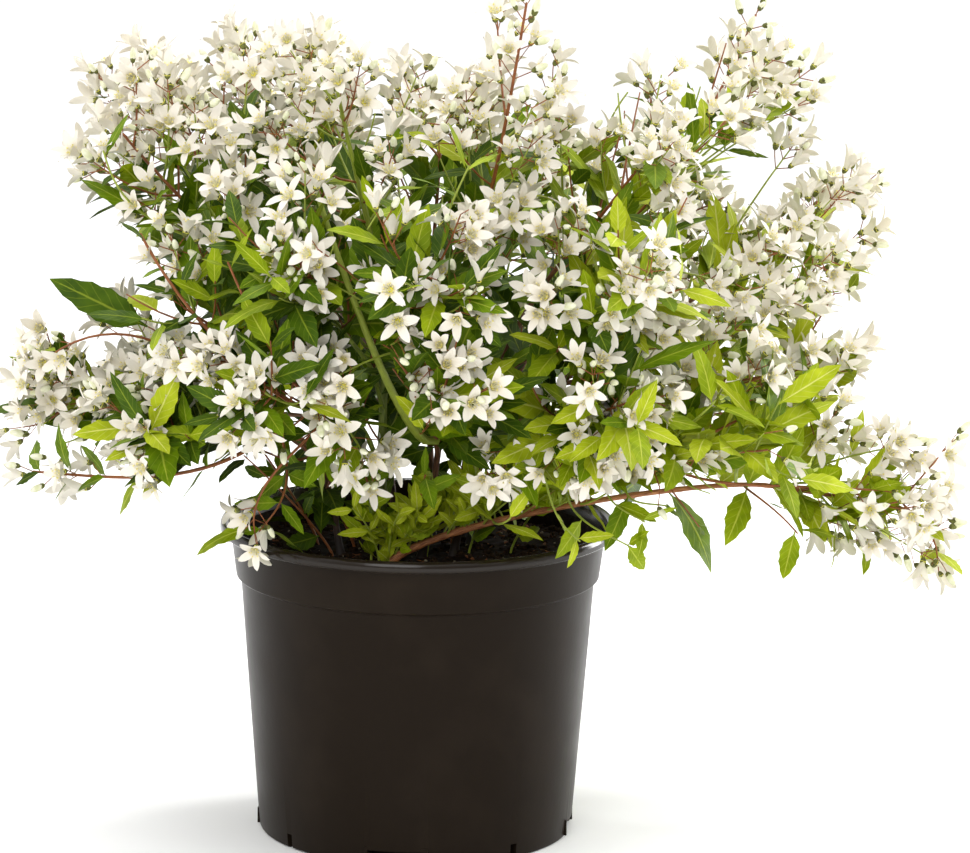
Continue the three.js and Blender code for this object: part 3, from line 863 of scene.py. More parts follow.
@dataclass(frozen=True)
class FlowerShape:
    """One flower in metres, opening along +Z: five petals on a small cup, round ten stamens."""

    opening: float
    seed: int
    petal_length: float = 11.8 * MM
    petal_width: float = 4.3 * MM
    cup_height: float = 2.3 * MM
    cup_radius: float = 1.55 * MM
    cup: float = 0.16
    upright: float = 14.0
    upright_share: float = 0.4
    recurve: float = 24.0
    overlap: float = 0.22 * MM
    stations: tuple[float, ...] = (0.0, 0.17, 0.36, 0.55, 0.74, 0.89, 1.0)
    breadths: tuple[float, ...] = (0.4, 0.68, 0.92, 1.0, 0.88, 0.56, 0.08)
    columns: int = 3
    stamens: int = 10
    styles: int = 3
    filament_length: float = 5.2 * MM
    anther_length: float = 1.2 * MM
    anther_width: float = 0.6 * MM
    sides: int = 8

    def petals(self) -> Form:
        """Makes the five petals."""
        random = SeededRandom(self.seed)
        return Form.join(self.petal(i, random) for i in range(5))

    def petal(self, number: int, random: SeededRandom) -> Form:
        """Makes one petal.

        Args:
            number: Which of the five it is.
            random: The run that its small unevenness comes from.

        Returns:
            The petal's form.
        """
        shares = np.array(self.stations)
        length = self.petal_length * random.between(0.92, 1.06)
        opening = self.opening + random.between(-9, 9)
        opened = (opening - self.upright) * np.clip(shares / self.upright_share, 0, 1)
        lean = np.radians(self.upright + opened + self.recurve * shares**3)
        steps = np.diff(shares) * length
        radial = self.cup_radius * 0.8 + np.concatenate([[0], np.cumsum(np.sin(lean[:-1]) * steps)])
        height = self.cup_height * 0.9 + np.concatenate([[0], np.cumsum(np.cos(lean[:-1]) * steps)])
        half = self.petal_width / 2 * np.array(self.breadths) * random.between(0.9, 1.1)
        across = np.linspace(-1, 1, self.columns)
        over = half[:, None] * across[None, :]
        hollow = np.sin(math.pi * (0.2 + 0.7 * shares))[:, None]
        cupped = self.cup * self.petal_width * across[None, :] ** 2 * hollow
        lift = cupped + (self.overlap * across[None, :] + random.between(-0.1, 0.1) * over)
        x = radial[:, None] - lift * np.cos(lean)[:, None]
        z = height[:, None] + lift * np.sin(lean)[:, None]
        angle = number * 2 * math.pi / 5 + random.between(-0.09, 0.09)
        turned_x = x * math.cos(angle) - over * math.sin(angle)
        turned_y = x * math.sin(angle) + over * math.cos(angle)
        corners = np.stack([turned_x, turned_y, z], -1).reshape(-1, 3)
        grid = np.stack(np.meshgrid((across + 1) / 2, shares), -1)[..., ::-1]
        return Form(corners, grid_faces(len(shares), self.columns), grid.reshape(-1, 2))

    def stamen_lines(self) -> list[tuple[Vector, Vector]]:
        """Gives the foot and the tip of each stamen, of which every other one is short."""
        random = SeededRandom(self.seed + 71)
        spread = math.radians(5 + 0.2 * self.opening)
        held = []
        for i in range(self.stamens):
            angle = (i + random.between(-0.2, 0.2)) * 2 * math.pi / self.stamens
            out = Vector((math.cos(angle), math.sin(angle), 0))
            foot = out * self.cup_radius * 0.6 + UP * self.cup_height
            reach = self.filament_length * (random.between(0.9, 1.1) if i % 2 else random.between(0.66, 0.84))
            held.append((foot, foot + out * reach * math.sin(spread) + UP * reach * math.cos(spread)))
        return held

    def filaments(self) -> Form:
        """Makes the white stalks of the stamens, and the three styles among them."""
        lines = self.stamen_lines()
        for i in range(self.styles):
            angle = i * 2 * math.pi / self.styles
            out = Vector((math.cos(angle), math.sin(angle), 0))
            foot = UP * self.cup_height
            lines.append((foot, foot + out * 1.2 * MM + UP * self.filament_length * 1.12))
        return Form.join(blade_between(foot, tip, 0.85 * MM, 0.25 * MM) for foot, tip in lines)

    def anthers(self) -> Form:
        """Makes the pollen sacs on the stamens' tips."""
        grain = ellipsoid_form(3, 2)
        frames = []
        wide = self.anther_width
        for foot, tip in self.stamen_lines():
            main = (tip - foot).normalized()
            side, other = across_of(main, UP)
            frames.append(frame_of(tip, side * wide, other * wide, main * self.anther_length / 2))
        return grain.copies(frames)

    def throat(self) -> Form:
        """Makes the yellow disc that closes the cup between the petals' feet."""
        radii = np.array([1.04, 0.72, 0.04])[:, None] * self.cup_radius
        heights = np.array([0.92, 1.5, 1.72])[:, None] * self.cup_height
        return round_form(radii, heights, radii.ravel(), self.sides)

    def calyx(self) -> Form:
        """Makes the small cup under the petals, whose edge is cut into short teeth."""
        levels = np.array([0.0, 0.35, 1.0, 1.42]) * self.cup_height
        radii = np.array([0.28, 0.78, 1.0, 1.02])[:, None] * self.cup_radius
        heights = np.repeat(levels[:, None], self.sides, axis=1)
        heights[-1, 1::2] = levels[-2]
        return round_form(radii, heights, levels, self.sides)


def blade_between(foot: Vector, tip: Vector, wide: float, narrow: float) -> Form:
    """Makes a thin three-sided stalk between two points.

    Args:
        foot: The wide end's middle.
        tip: The narrow end's middle.
        wide: The width at the foot.
        narrow: The width at the tip.

    Returns:
        The stalk's form.
    """
    side, other = across_of((tip - foot).normalized(), UP)
    turns = [i * 2 * math.pi / 3 for i in range(3)]
    spokes = [side * math.cos(turn) + other * math.sin(turn) for turn in turns]
    corners = [end + spoke * width / 2 for end, width in ((foot, wide), (tip, narrow)) for spoke in spokes]
    places = np.array([(i % 3, i // 3) for i in range(6)], float)
    return Form(np.array([tuple(c) for c in corners]), grid_faces(2, 3, around=True), places)


def ellipsoid_form(sides: int, rings: int, lobes: float = 0.0) -> Form:
    """Makes a unit ball that can be stretched, with its poles on Z.

    Args:
        sides: How many sides it has round.
        rings: How many steps it has from pole to pole.
        lobes: How deep the five grooves down its sides are.

    Returns:
        The ball's form.
    """
    falls = np.linspace(math.pi - 0.05, 0.05, rings + 1)[:, None]
    radii = np.sin(falls) * (1 + lobes * np.cos(5 * turns_of(sides))[None, :])
    return round_form(radii, np.cos(falls), falls.ravel(), sides)


def bud_form(width: float = 3.6 * MM, length: float = 7 * MM) -> Form:
    """Makes an unopened flower in metres, standing on its calyx along +Z.

    Args:
        width: Its greatest width.
        length: Its length before its tip is drawn out to a blunt point.

    Returns:
        The bud's form.
    """
    body = ellipsoid_form(8, 5, 0.06)
    half = length / 2
    pointed = body.corners.copy()
    pointed[:, 2] = np.where(pointed[:, 2] > 0, pointed[:, 2] * 1.25, pointed[:, 2])
    pointed *= np.array([width / 2, width / 2, half])
    pointed[:, 2] += 1.6 * MM + half * 0.8
    return Form(pointed, body.faces, body.places)


# The growing crown


class Tint(Enum):
    """The greens that are dealt out leaf by leaf, many of them as painted light and shade by where a leaf
    grows.
    """

    DEEP = "leaf_deep"
    MID = "leaf_mid"
    BRIGHT = "leaf_bright"
    YOUNG_AND_LIT = "leaf_young_and_lit"


DEEP, MID, BRIGHT, YOUNG_AND_LIT = Tint


@dataclass(frozen=True)
class Spray:
    """One twig that is set by itself, by the points in millimetres that shape its line.

    Args:
        points: Two to four control points after its root, in order, the last one its tip.
        leaf_mm: How long its leaves are.
        pairs: How many leaf pairs it has.
        flowers: Whether it ends in flowers.
        bark: How its bark looks.
        radius_mm: Its radius at the root.
        tint: The green of its leaves.
        first: The share of its length where its leaves start.
        breadth: The width of its leaves as a factor.
        end_leaf_mm: How long the leaf on its tip is, if it has one.
        seen: Whether the photograph shows its bark, so that nothing may stand before it.
    """

    points: tuple[tuple[float, float, float], ...]
    leaf_mm: float = 26.0
    pairs: int = 3
    flowers: bool = True
    bark: BarkKind = RUSSET
    radius_mm: float = 0.8
    tint: Tint | None = None
    first: float = 0.3
    breadth: float = 1.0
    end_leaf_mm: float = 0.0
    seen: bool = False


# The twigs that are set by themselves, most of them as the photograph shows them.
SPRAYS = (
    # The arch over the left side twigs, and the long leaf above it.
    Spray(
        ((-86, -30, 215), (-114, -38, 250), (-145, -44, 257), (-172, -46, 237)), 22, 2, radius_mm=0.9,
        first=0.5,
    ),
    Spray(
        ((-100, -36, 236), (-114, -38, 243), (-127, -40, 250)), 20, 0, False, radius_mm=0.6, tint=DEEP,
        end_leaf_mm=47,
    ),
    # The low side twig on the left, and the one that hangs over the rim.
    Spray(((-79, -60, 195), (-106, -66, 178), (-139, -60, 182), (-180, -52, 183)), 29, 6, radius_mm=1.1),
    Spray(
        ((-58, -84, 199), (-72, -86, 190), (-78, -76, 172), (-76, -72, 160)), 38, 2, tint=BRIGHT,
        first=0.1,
    ),
    # The twigs whose leaves stand clear of the crown on the right, and the lowest ones there.
    Spray(((182, 20, 256), (196, 15, 261), (206, 12, 262)), 24, 2, False, GREEN, 0.6, BRIGHT),
    Spray(((187, 0, 224), (198, -5, 225), (206, -8, 225)), 22, 2, False, GREEN, 0.6, BRIGHT),
    Spray(((151, -70, 182), (165, -72, 175), (176, -74, 162)), 30, 3, False, RUSSET, 0.7, BRIGHT),
    Spray(((121, -78, 178), (126, -80, 171), (130, -80, 166)), 24, 2, False, RUSSET, 0.6, MID),
    Spray(((216, -48, 177), (235, -50, 172), (243, -50, 158), (244, -50, 146)), 30, 2, radius_mm=0.8),
    Spray(((130, -75, 178), (158, -72, 187), (187, -66, 182), (214, -60, 180)), 30, 6, tint=BRIGHT),
    # Young shoots round the foot, from the compost or from the low branch in front.
    *(
        Spray(points, leaf * 0.72, 5, False, GREEN, 0.6, tint, 0.15)
        for points, leaf, tint in (
            (((-18, -44, 142), (-21, -50, 158), (-31, -56, 168)), 22, YOUNG_AND_LIT),
            (((-14, -46, 142), (-14, -52, 156), (-9, -57, 166)), 20, YOUNG_AND_LIT),
            (((-22, -42, 142), (-22, -48, 162), (-23, -55, 177)), 24, BRIGHT),
            (((14, -42, 154), (17, -46, 161), (25, -50, 169)), 23, YOUNG_AND_LIT),
            (((30, -42, 158), (36, -46, 166), (47, -48, 174)), 27, BRIGHT),
            (((46, -40, 160), (52, -46, 170), (56, -52, 181)), 30, YOUNG_AND_LIT),
            (((62, -40, 164), (70, -46, 171), (83, -48, 177)), 30, BRIGHT),
            (((78, -40, 166), (90, -50, 175), (98, -56, 185)), 30, YOUNG_AND_LIT),
            (((4, -22, 142), (9, -34, 164), (6, -46, 183)), 28, BRIGHT),
            (((24, -16, 142), (32, -32, 168), (48, -44, 188)), 30, MID),
            (((44, -10, 142), (58, -28, 170), (78, -42, 190)), 32, BRIGHT),
            (((-14, -16, 142), (-24, -32, 166), (-22, -48, 188)), 26, MID),
        )
    ),
    # Large leaves among the upper flowers on the right.
    Spray(((83, -20, 342), (89, -30, 353), (95, -35, 362)), 30, 3, False, GREEN, 0.7, BRIGHT, 0.1),
    Spray(((139, 20, 328), (148, 15, 333), (156, 10, 340)), 38, 2, False, GREEN, 0.7, BRIGHT, 0.1),
    Spray(((125, -30, 323), (131, -35, 335), (137, -40, 347)), 30, 2, False, GREEN, 0.7, MID, 0.2),
    # Twigs low in front, over the rim and the branch.
    Spray(((20, -36, 160), (32, -58, 180), (38, -72, 190)), 30, 3, True, GREEN, 0.8, BRIGHT),
    Spray(((-2, -34, 160), (2, -56, 178), (3, -70, 187)), 24, 3, False, RUSSET, 0.8, MID),
    Spray(((-22, -34, 164), (-25, -58, 184), (-26, -72, 193)), 24, 3, True, RUSSET, 0.8, MID),
    Spray(((58, -44, 172), (72, -62, 186), (82, -74, 193)), 30, 3, True, GREEN, 0.8, BRIGHT),
    Spray(((40, -36, 172), (50, -62, 194), (54, -78, 206)), 34, 4, False, GREEN, 0.8, YOUNG_AND_LIT),
    Spray(((88, -56, 176), (98, -72, 186), (106, -82, 191)), 28, 3, True, RUSSET, 0.8, BRIGHT),
    Spray(
        ((101, -100, 199), (123, -110, 219), (134, -114, 232)), 36, 3, False, GREEN, 0.9, BRIGHT,
        breadth=1.2,
    ),
    # Russet twigs that show their bark, two on the left and one on the right.
    Spray(((-55, -98, 218), (-82, -104, 242), (-109, -98, 268), (-128, -84, 301)), 24, 4, False, RUSSET, 1.1),
    Spray(((-54, -112, 229), (-70, -118, 254), (-87, -112, 293)), 24, 3, False, RUSSET, 1.0),
    Spray(((79, -92, 189), (106, -100, 200), (128, -98, 210), (150, -86, 220)), 28, 3, False, RUSSET, 1.1),
    # Leafy twigs with broad leaves, at the upper left, in the upper middle and on the right.
    Spray(((-136, -40, 298), (-142, -50, 316), (-147, -50, 334)), 36, 3, False, GREEN, 0.8, MID, 0.1),
    Spray(((4, -112, 304), (13, -124, 322), (21, -118, 339)), 38, 3, False, GREEN, 0.8, BRIGHT, 0.1),
    Spray(((-36, -120, 292), (-28, -130, 307), (-19, -126, 319)), 32, 3, False, GREEN, 0.8, BRIGHT, 0.1),
    Spray(
        ((118, -90, 190), (136, -98, 206), (150, -100, 218)), 38, 3, False, GREEN, 0.9, BRIGHT,
        breadth=1.2,
    ),
    Spray(((146, -60, 200), (160, -70, 212), (176, -76, 224)), 40, 2, False, GREEN, 0.9, BRIGHT, breadth=1.2),
    # The green cane that crosses the front, with nothing before it.
    Spray(((-2, -45, 190), (-24, -124, 256), (-48, -104, 326)), 26, 0, True, GREEN, 2.3, seen=True),
    # Dark shoots in the plant's foot.
    *(
        Spray(points, 23, 5, False, RUSSET, 0.7, tint, 0.2)
        for points, tint in (
            (((-30, -8, 142), (-44, -14, 170), (-62, -22, 204)), DEEP),
            (((-16, 4, 142), (-24, -2, 172), (-38, -10, 208)), MID),
            (((-40, -24, 142), (-58, -34, 166), (-82, -44, 190)), DEEP),
            (((2, 2, 142), (2, -6, 172), (-6, -16, 206)), DEEP),
            (((16, 6, 142), (22, 0, 172), (22, -12, 204)), MID),
            (((-48, 6, 142), (-64, 4, 168), (-84, 0, 196)), MID),
        )
    ),
    # Shoots that fill the crown's middle, which shows from above.
    *(
        Spray(points, 27, 6, flowers, GREEN, 0.8, tint, 0.15)
        for points, tint, flowers in (
            (((-16, 4, 226), (-22, 10, 258), (-30, 20, 300)), MID, True),
            (((6, 12, 226), (8, 22, 258), (10, 36, 302)), DEEP, False),
            (((30, 8, 224), (38, 16, 256), (48, 28, 296)), MID, True),
            (((-30, 30, 226), (-42, 42, 258), (-54, 56, 296)), DEEP, False),
            (((20, 40, 228), (26, 54, 260), (32, 72, 300)), MID, True),
            (((-6, -20, 226), (-8, -28, 258), (-10, -36, 304)), MID, False),
            (((50, 40, 226), (62, 52, 256), (76, 66, 294)), DEEP, False),
            (((-4, 60, 228), (-8, 84, 262), (-12, 112, 300)), MID, True),
        )
    ),
    # Low leafy twigs, three on the left and one on the right.
    Spray(((-60, -10, 176), (-76, -14, 188), (-96, -18, 196)), 26, 4, False, RUSSET, 0.8, MID, 0.2),
    Spray(((-70, 10, 180), (-92, 12, 186), (-118, 10, 190)), 26, 4, False, RUSSET, 0.8, DEEP, 0.2),
    Spray(((-56, -60, 176), (-67, -68, 168), (-74, -68, 159)), 22, 4, False, RUSSET, 0.7, MID, 0.1),
    Spray(((66, -84, 170), (82, -94, 168), (98, -98, 160)), 27, 3, False, GREEN, 0.7, BRIGHT, 0.2),
    # Leafy shoots that stand on and hang from the low branch.
    *(
        Spray(points, 25, 4, flowers, GREEN, 0.7, tint, 0.12)
        for points, tint, flowers in (
            (((46, -84, 172), (50, -92, 184), (52, -98, 196)), BRIGHT, False),
            (((64, -84, 180), (70, -90, 192), (76, -94, 202)), MID, False),
            (((84, -80, 183), (94, -86, 192), (106, -90, 198)), BRIGHT, True),
            (((100, -76, 186), (112, -80, 192), (126, -84, 192)), MID, False),
            (((58, -88, 172), (66, -98, 170), (74, -104, 164)), YOUNG_AND_LIT, False),
            (((80, -84, 178), (92, -94, 178), (104, -98, 172)), BRIGHT, False),
            (((36, -84, 166), (40, -94, 170), (42, -102, 174)), YOUNG_AND_LIT, False),
        )
    ),
    Spray(((88, -84, 174), (102, -90, 180), (114, -90, 178)), 27, 3, False, GREEN, 0.7, MID, 0.2),
)

# The middles of the flower clusters that the photograph shows nearest to the eye, in millimetres.
POSIES = (
    (139, -62, 253), (170, -45, 267), (193, -20, 281), (197, -20, 233), (100, -112, 255), (112, -78, 333),
    (57, -140, 282), (114, -92, 199), (16, -150, 290), (-13, -150, 263), (-43, -130, 241), (-34, -120, 211),
    (-54, -128, 293), (-86, -70, 315), (99, -120, 279), (145, -60, 276), (-178, -40, 228), (-130, -55, 192),
    (-127, -30, 346), (-156, -10, 322), (20, -60, 360), (-81, -20, 373), (201, -30, 200), (228, -40, 197),
    (240, -50, 178), (209, -55, 160), (236, -50, 148), (175, 20, 328), (205, 30, 310), (36, -90, 193),
    (-22, -90, 194), (-83, -80, 229), (-145, -45, 223), (-131, -45, 217), (-123, -50, 228), (71, -105, 228),
    (82, -110, 234), (95, -105, 241), (87, -110, 226), (150, -60, 274), (163, -40, 287), (145, -70, 257),
    (63, -60, 352), (165, 20, 371), (179, 25, 362), (158, 20, 354), (177, 25, 348), (151, 10, 347),
    (4, -148, 251), (16, -142, 254), (-2, -138, 237), (-60, -130, 303), (-46, -134, 303), (80, -120, 213),
    (73, -122, 215), (84, -118, 198), (95, -122, 211), (110, -105, 190), (124, -105, 200),
)

# The openings in the crown that show the sky, as ovals in the upright plane through the pot's axis: each
# gives the middle's x and z and its half width and height in millimetres. The eye's distance and height in
# metres say how each opening runs on through the crown.
EYE = (2.3, 0.66)
WINDOWS = (
    (-165, 276, 34, 24), (-154, 236, 19, 7), (-123, 251, 6, 7), (201, 297, 10, 8), (163, 166, 8, 7),
    (213, 181, 6, 6), (158, 265, 5, 9), (-60, 211, 6, 6), (72, 220, 6, 6), (59, 362, 6, 5),
    (77, 358, 8, 24), (215, 197, 5, 6), (-12, 402, 37, 29), (-113, 396, 16, 26), (-63, 404, 17, 22),
    (160, 316, 19, 12), (206, 253, 15, 12), (223, 221, 8, 15), (243, 205, 18, 13), (-169, 348, 13, 24),
    (107, 396, 38, 27), (-60, 203, 7, 7), (-25, 190, 5, 6), (-10, 171, 5, 5), (-112, 176, 7, 4),
    (-97, 212, 5, 4), (-73, 183, 5, 5), (-181, 251, 19, 9), (20, 390, 13, 24),
)

# The places where the photograph shows leaves alone, given in the same way.
LEAFY_PLACES = (
    (10, 317, 18, 16), (-29, 285, 16, 14), (160, 191, 19, 17), (-66, 243, 17, 14), (2, 285, 14, 12),
    (-145, 311, 10, 15), (-179, 186, 13, 10), (-152, 190, 10, 10), (-104, 247, 14, 12), (95, 352, 12, 12),
    (133, 334, 12, 14), (232, 172, 15, 8), (219, 142, 8, 14), (200, 165, 14, 8),
)


@dataclass
class Crown:
    """Grows every twig, leaf, flower and bud on the limbs."""

    skeleton: Skeleton
    lowest: Vector
    highest: Vector
    mass_radius: float = 72 * MM
    raceme_radius: float = 128 * MM
    cell_overlap: float = 14 * MM
    stem_forward: float = 28 * MM
    stem_rise: float = 5 * MM
    stem_nodes: int = 7
    raceme_leafy: float = 0.62
    raceme_ranks: int = 7
    panicle_ranks: int = 4
    pair_spacing: float = 21 * MM
    bare_cane: float = 0.36
    bare_bough: float = 0.14
    shoot_length: float = 41 * MM
    shoot_splay: float = 58.0
    shoot_lift: float = 0.3
    shoot_lead: float = 0.2
    shoot_reach: float = 100 * MM
    leaf_length: float = 36 * MM
    lowest_slope: float = -0.3
    underside: float = 156 * MM
    underside_slope: float = 0.2
    under_mass: float = 20 * MM
    leafy_height: float = 305 * MM
    leafless_height: float = 350 * MM
    sparse_from: float = 95 * MM
    sparsest_from: float = 190 * MM
    sparse_below: float = 285 * MM
    left_out: float = 0.5
    left_out_far: float = 0.65
    sparse_length: float = 1.2
    shaded_middle: tuple[float, float] = (-10 * MM, 255 * MM)
    shaded_half: tuple[float, float] = (110 * MM, 90 * MM)
    flower_room: float = 7.2 * MM
    crown_span: tuple[float, float, float] = (205 * MM, 165 * MM, 165 * MM)
    flowering_depth: float = 0.52
    lit_depth: float = 0.85
    shown_limb: str = "stem_01"
    shown_from: float = 0.1
    limb_room: float = 6 * MM
    leaf_clearance: float = 3.2 * MM
    flower_clearance: float = 5 * MM
    pot_reach: float = 97 * MM
    pot_top: float = 153 * MM
    mouth_reach: float = 80 * MM
    branch_shoots: int = 22
    flower_kinds: int = 10
    leaf_kinds: int = 6
    leaves: dict[tuple[Tint, int], list[np.ndarray]] = field(default_factory=dict)
    flowers: dict[int, list[np.ndarray]] = field(default_factory=dict)
    buds: list[np.ndarray] = field(default_factory=list)
    stalks: list[np.ndarray] = field(default_factory=list)
    green_twigs: list[Form] = field(default_factory=list)
    russet_twigs: list[Form] = field(default_factory=list)
    flower_points: list[Vector] = field(default_factory=list)
    random: SeededRandom = SeededRandom(0)

    def __post_init__(self) -> None:
        """Notes the masses' centres, where the limbs run and which of them the eye has to see."""
        limbs = self.skeleton.limbs
        self.centres = np.array([tuple(limb.mass.point()) for limb in limbs])
        points = [point for limb in limbs for point in limb.path.points]
        self.limb_tree = KDTree(len(points))
        for i, point in enumerate(points):
            self.limb_tree.insert(point, i)
        self.limb_tree.balance()
        branch = next(limb.path for limb in limbs if limb.node == self.shown_limb)
        shown = [branch.at(self.shown_from + (1 - self.shown_from) * i / 60) for i in range(61)]
        for spray in SPRAYS:
            if spray.seen:
                shown += [self.spray_path(spray).at(i / 60) for i in range(54)]
        self.shown_limbs = np.array([(*self.seen_at(point), point.y) for point in shown])

    def in_space(self, point: Vector, limb: Limb | None) -> bool:
        """Tells whether a point lies in a mass's own space, or a little over its walls.

        Args:
            point: The point.
            limb: The limb that carries the mass, if it has to keep to one.

        Returns:
            Whether it may stay.
        """
        if limb is None:
            return True
        reach = np.linalg.norm(self.centres - np.array(point), axis=1)
        own = reach[limb.number]
        limit = self.raceme_radius if limb.mass.raceme else self.mass_radius
        underside = self.underside + self.underside_slope * max(0.0, -point.y)
        low = min(underside, limb.mass.height * MM - self.under_mass)
        if point.z < low or self.in_ovals(point, WINDOWS):
            return False
        return bool(own < limit and own - reach.min() < self.cell_overlap)

    def in_ovals(self, point: Vector, ovals: Sequence[tuple[float, float, float, float]]) -> bool:
        """Tells whether the eye sees a point within one of some ovals."""
        x, z = self.seen_at(point) / MM
        return any(((x - oval[0]) / oval[2]) ** 2 + ((z - oval[1]) / oval[3]) ** 2 < 1 for oval in ovals)

    def seen_at(self, point: Vector) -> np.ndarray:
        """Gives where the eye sees a point, in the upright plane through the pot's axis."""
        nearness = EYE[0] / (EYE[0] + point.y)
        return np.array((point.x * nearness, EYE[1] + (point.z - EYE[1]) * nearness))

    def hides_limb(self, point: Vector, room: float) -> bool:
        """Tells whether something at a point would cover a limb that the photograph shows, or nearly so."""
        near = np.linalg.norm(self.shown_limbs[:, :2] - self.seen_at(point), axis=1) < room
        return bool((near & (self.shown_limbs[:, 2] > point.y)).any())

    def in_frame(self, point: Vector, margin: float = 0.0) -> bool:
        """Tells whether a point lies in the frame's box, and clear of the pot.

        Args:
            point: The point.
            margin: How far inside it has to lie.

        Returns:
            Whether it may stay.
        """
        for k in range(3):
            if not self.lowest[k] + margin <= point[k] <= self.highest[k] - margin:
                return False
        flat = math.hypot(point.x, point.y)
        if flat < self.pot_reach and point.z < self.pot_top:
            return flat < self.mouth_reach and point.z > self.skeleton.compost_top + 1.5 * MM
        return True

    def grow(self) -> None:
        """Grows the whole crown."""
        for i, spray in enumerate(SPRAYS):
            self.random = SeededRandom(301 + 17 * i)
            self.grow_spray(spray)
        for i, posy in enumerate(POSIES):
            self.random = SeededRandom(911 + 23 * i)
            self.grow_posy(Vector(posy) * MM)
        self.random = SeededRandom(4001)
        self.clothe_branch(self.skeleton.limbs[0].path)
        for limb in self.skeleton.limbs:
            self.random = SeededRandom(7001 + 131 * limb.number)
            self.clothe_limb(limb)
            self.grow_mass(limb)

    def grow_spray(self, spray: Spray) -> None:
        """Grows one twig that is set by itself, with its leaves and flowers.

        Args:
            spray: The twig.
        """
        path = self.spray_path(spray)
        self.twig(path, spray.radius_mm, spray.bark, 6, 20)
        turn = self.random.between(0, math.pi)
        steps = max(1, spray.pairs - 1)
        shares = [spray.first + (0.97 - spray.first) * i / steps for i in range(spray.pairs)]
        scale = spray.leaf_mm * MM / self.leaf_length

        def size_at(share: float) -> float:
            """Gives a leaf's size at a share of the twig's length."""
            return scale * self.random.between(0.7, 1.1) * (1.1 - 0.35 * share)

        self.leaf_pairs(path, shares, turn, size_at, tint=spray.tint, breadth=spray.breadth)
        if spray.end_leaf_mm:
            main = path.heading(1)
            side, face = across_of(main, Vector((0, -1, 0.35)))
            size = spray.end_leaf_mm * MM
            end_frame = frame_of(path.at(1), main * size, side * size, face * size)
            self.leaves.setdefault((spray.tint or MID, 0), []).append(end_frame)
        if spray.flowers:
            self.panicle(None, path, 0.72)

    def spray_path(self, spray: Spray) -> Path:
        """Gives the line of a spray, from the compost or from the limb next to its first point.

        Args:
            spray: The twig.

        Returns:
            Its middle line.
        """
        points = [Vector(point) * MM for point in spray.points]
        if points[0].z < self.skeleton.compost_top + 8 * MM:
            root = points[0] * Vector((1, 1, 0)) + UP * (self.skeleton.compost_top - 2 * MM)
        else:
            root = self.limb_tree.find(points[0])[0]
        return Path([root, *points], 32)

    def clothe_branch(self, branch: Path) -> None:
        """Sets the small young shoots that stand on the low branch in front.

        Args:
            branch: The branch's middle line.
        """

        def size_at(share: float) -> float:
            """Gives a leaf's size at a share of its shoot's length."""
            return self.random.between(0.32, 0.56) * (1.15 - 0.4 * share)

        for i in range(self.branch_shoots):
            foot = branch.at(0.04 + 0.5 * i / self.branch_shoots)
            lean = Vector((self.random.between(-0.7, 0.8), self.random.between(-0.8, 0.9), 1)).normalized()
            length = self.random.between(12, 27) * MM
            path = Path((foot, foot + lean * length * 0.5 + UP * 2 * MM, foot + lean * length), 12)
            self.twig(path, 0.55, GREEN)
            turn = self.random.between(0, math.pi)
            tint = YOUNG_AND_LIT if self.random.value() < 0.8 else BRIGHT
            self.leaf_pairs(path, (0.25, 0.5, 0.75, 0.97), turn, size_at, 0.8, tint=tint)

    def grow_posy(self, end: Vector) -> None:
        """Grows one cluster of flowers of the photograph, on a twig from the nearest limb.

        Args:
            end: The cluster's middle.
        """
        root = self.limb_tree.find(end)[0]
        path = Path((root, root.lerp(end, 0.5) + UP * 6 * MM, end), 16)
        self.twig(path, 0.7, RUSSET if self.random.value() < 0.5 else GREEN)
        turn = self.random.between(0, math.pi)
        self.leaf_pairs(path, (0.3, 0.6), turn, lambda share: self.random.between(0.6, 0.95))
        self.panicle(None, path, max(0.3, 1 - 17 * MM / path.length))

    def twig(self, path: Path, radius_mm: float, bark: BarkKind, sides: int = 4, rings: int = 6) -> None:
        """Adds one twig, which tapers from its radius at the root."""
        held = self.green_twigs if bark is GREEN else self.russet_twigs
        held.append(tube_form(path, lambda share: radius_mm * (1 - 0.45 * share) * MM, sides, rings))

    def opposite(self, path: Path, share: float, turn: float) -> list[tuple[Vector, Vector]]:
        """Gives the two opposite sides of a node.

        Args:
            path: The twig that has the node.
            share: Where the node is.
            turn: How far the pair is turned about the twig.

        Returns:
            For each side the way the twig runs and the way out.
        """
        along = path.heading(share)
        out, _ = across_of(along, UP)
        out.rotate(Quaternion(along, turn))
        return [(along, out), (along, -out)]

    def leaf_pairs(
        self, path: Path, shares: Sequence[float], turn: float, size_at: Callable[[float], float],
        lead: float = 0.7, limb: Limb | None = None, tint: Tint | None = None, breadth: float = 1.0,
    ) -> None:
        """Sets pairs of leaves along a twig, each pair a quarter turn on from the last.

        Args:
            path: The twig's middle line.
            shares: Where the pairs are, as shares of its length.
            turn: How far the first pair is turned about the twig.
            size_at: A leaf's size as a factor, at a share of the length.
            lead: How far the leaves lean towards the twig's tip.
            limb: The limb whose mass they keep to, if any.
            tint: Their green, where it isn't left to their places.
            breadth: Their width as a factor.
        """
        for i, share in enumerate(shares):
            for along, out in self.opposite(path, share, turn + i * math.pi / 2):
                size = size_at(share)
                self.leaf(path.at(share), along * lead + out, limb, size, tint, breadth)

    def clothe_limb(self, limb: Limb) -> None:
        """Sets leaf pairs and short leafy shoots along a limb.

        Args:
            limb: The limb.
        """
        start = self.bare_cane if limb.is_cane else self.bare_bough
        count = int(limb.path.length * (1 - start) / self.pair_spacing)
        turn = self.random.between(0, math.pi)
        for i in range(count):
            share = start + (1 - start) * i / count
            place = limb.path.at(share)
            twist = turn + i * math.pi / 2 + self.random.between(-0.3, 0.3)
            for along, side in self.opposite(limb.path, share, twist):
                self.leaf(place, along * 0.55 + side, None, self.random.between(0.8, 1.25))
                if self.random.value() < 0.45:
                    length = self.shoot_length * self.random.between(0.45, 0.9)
                    blooming = self.random.value() < self.bloom_share(place, limb.mass) * 0.6 and share > 0.45
                    self.shoot(limb, place, along, side, length, blooming)

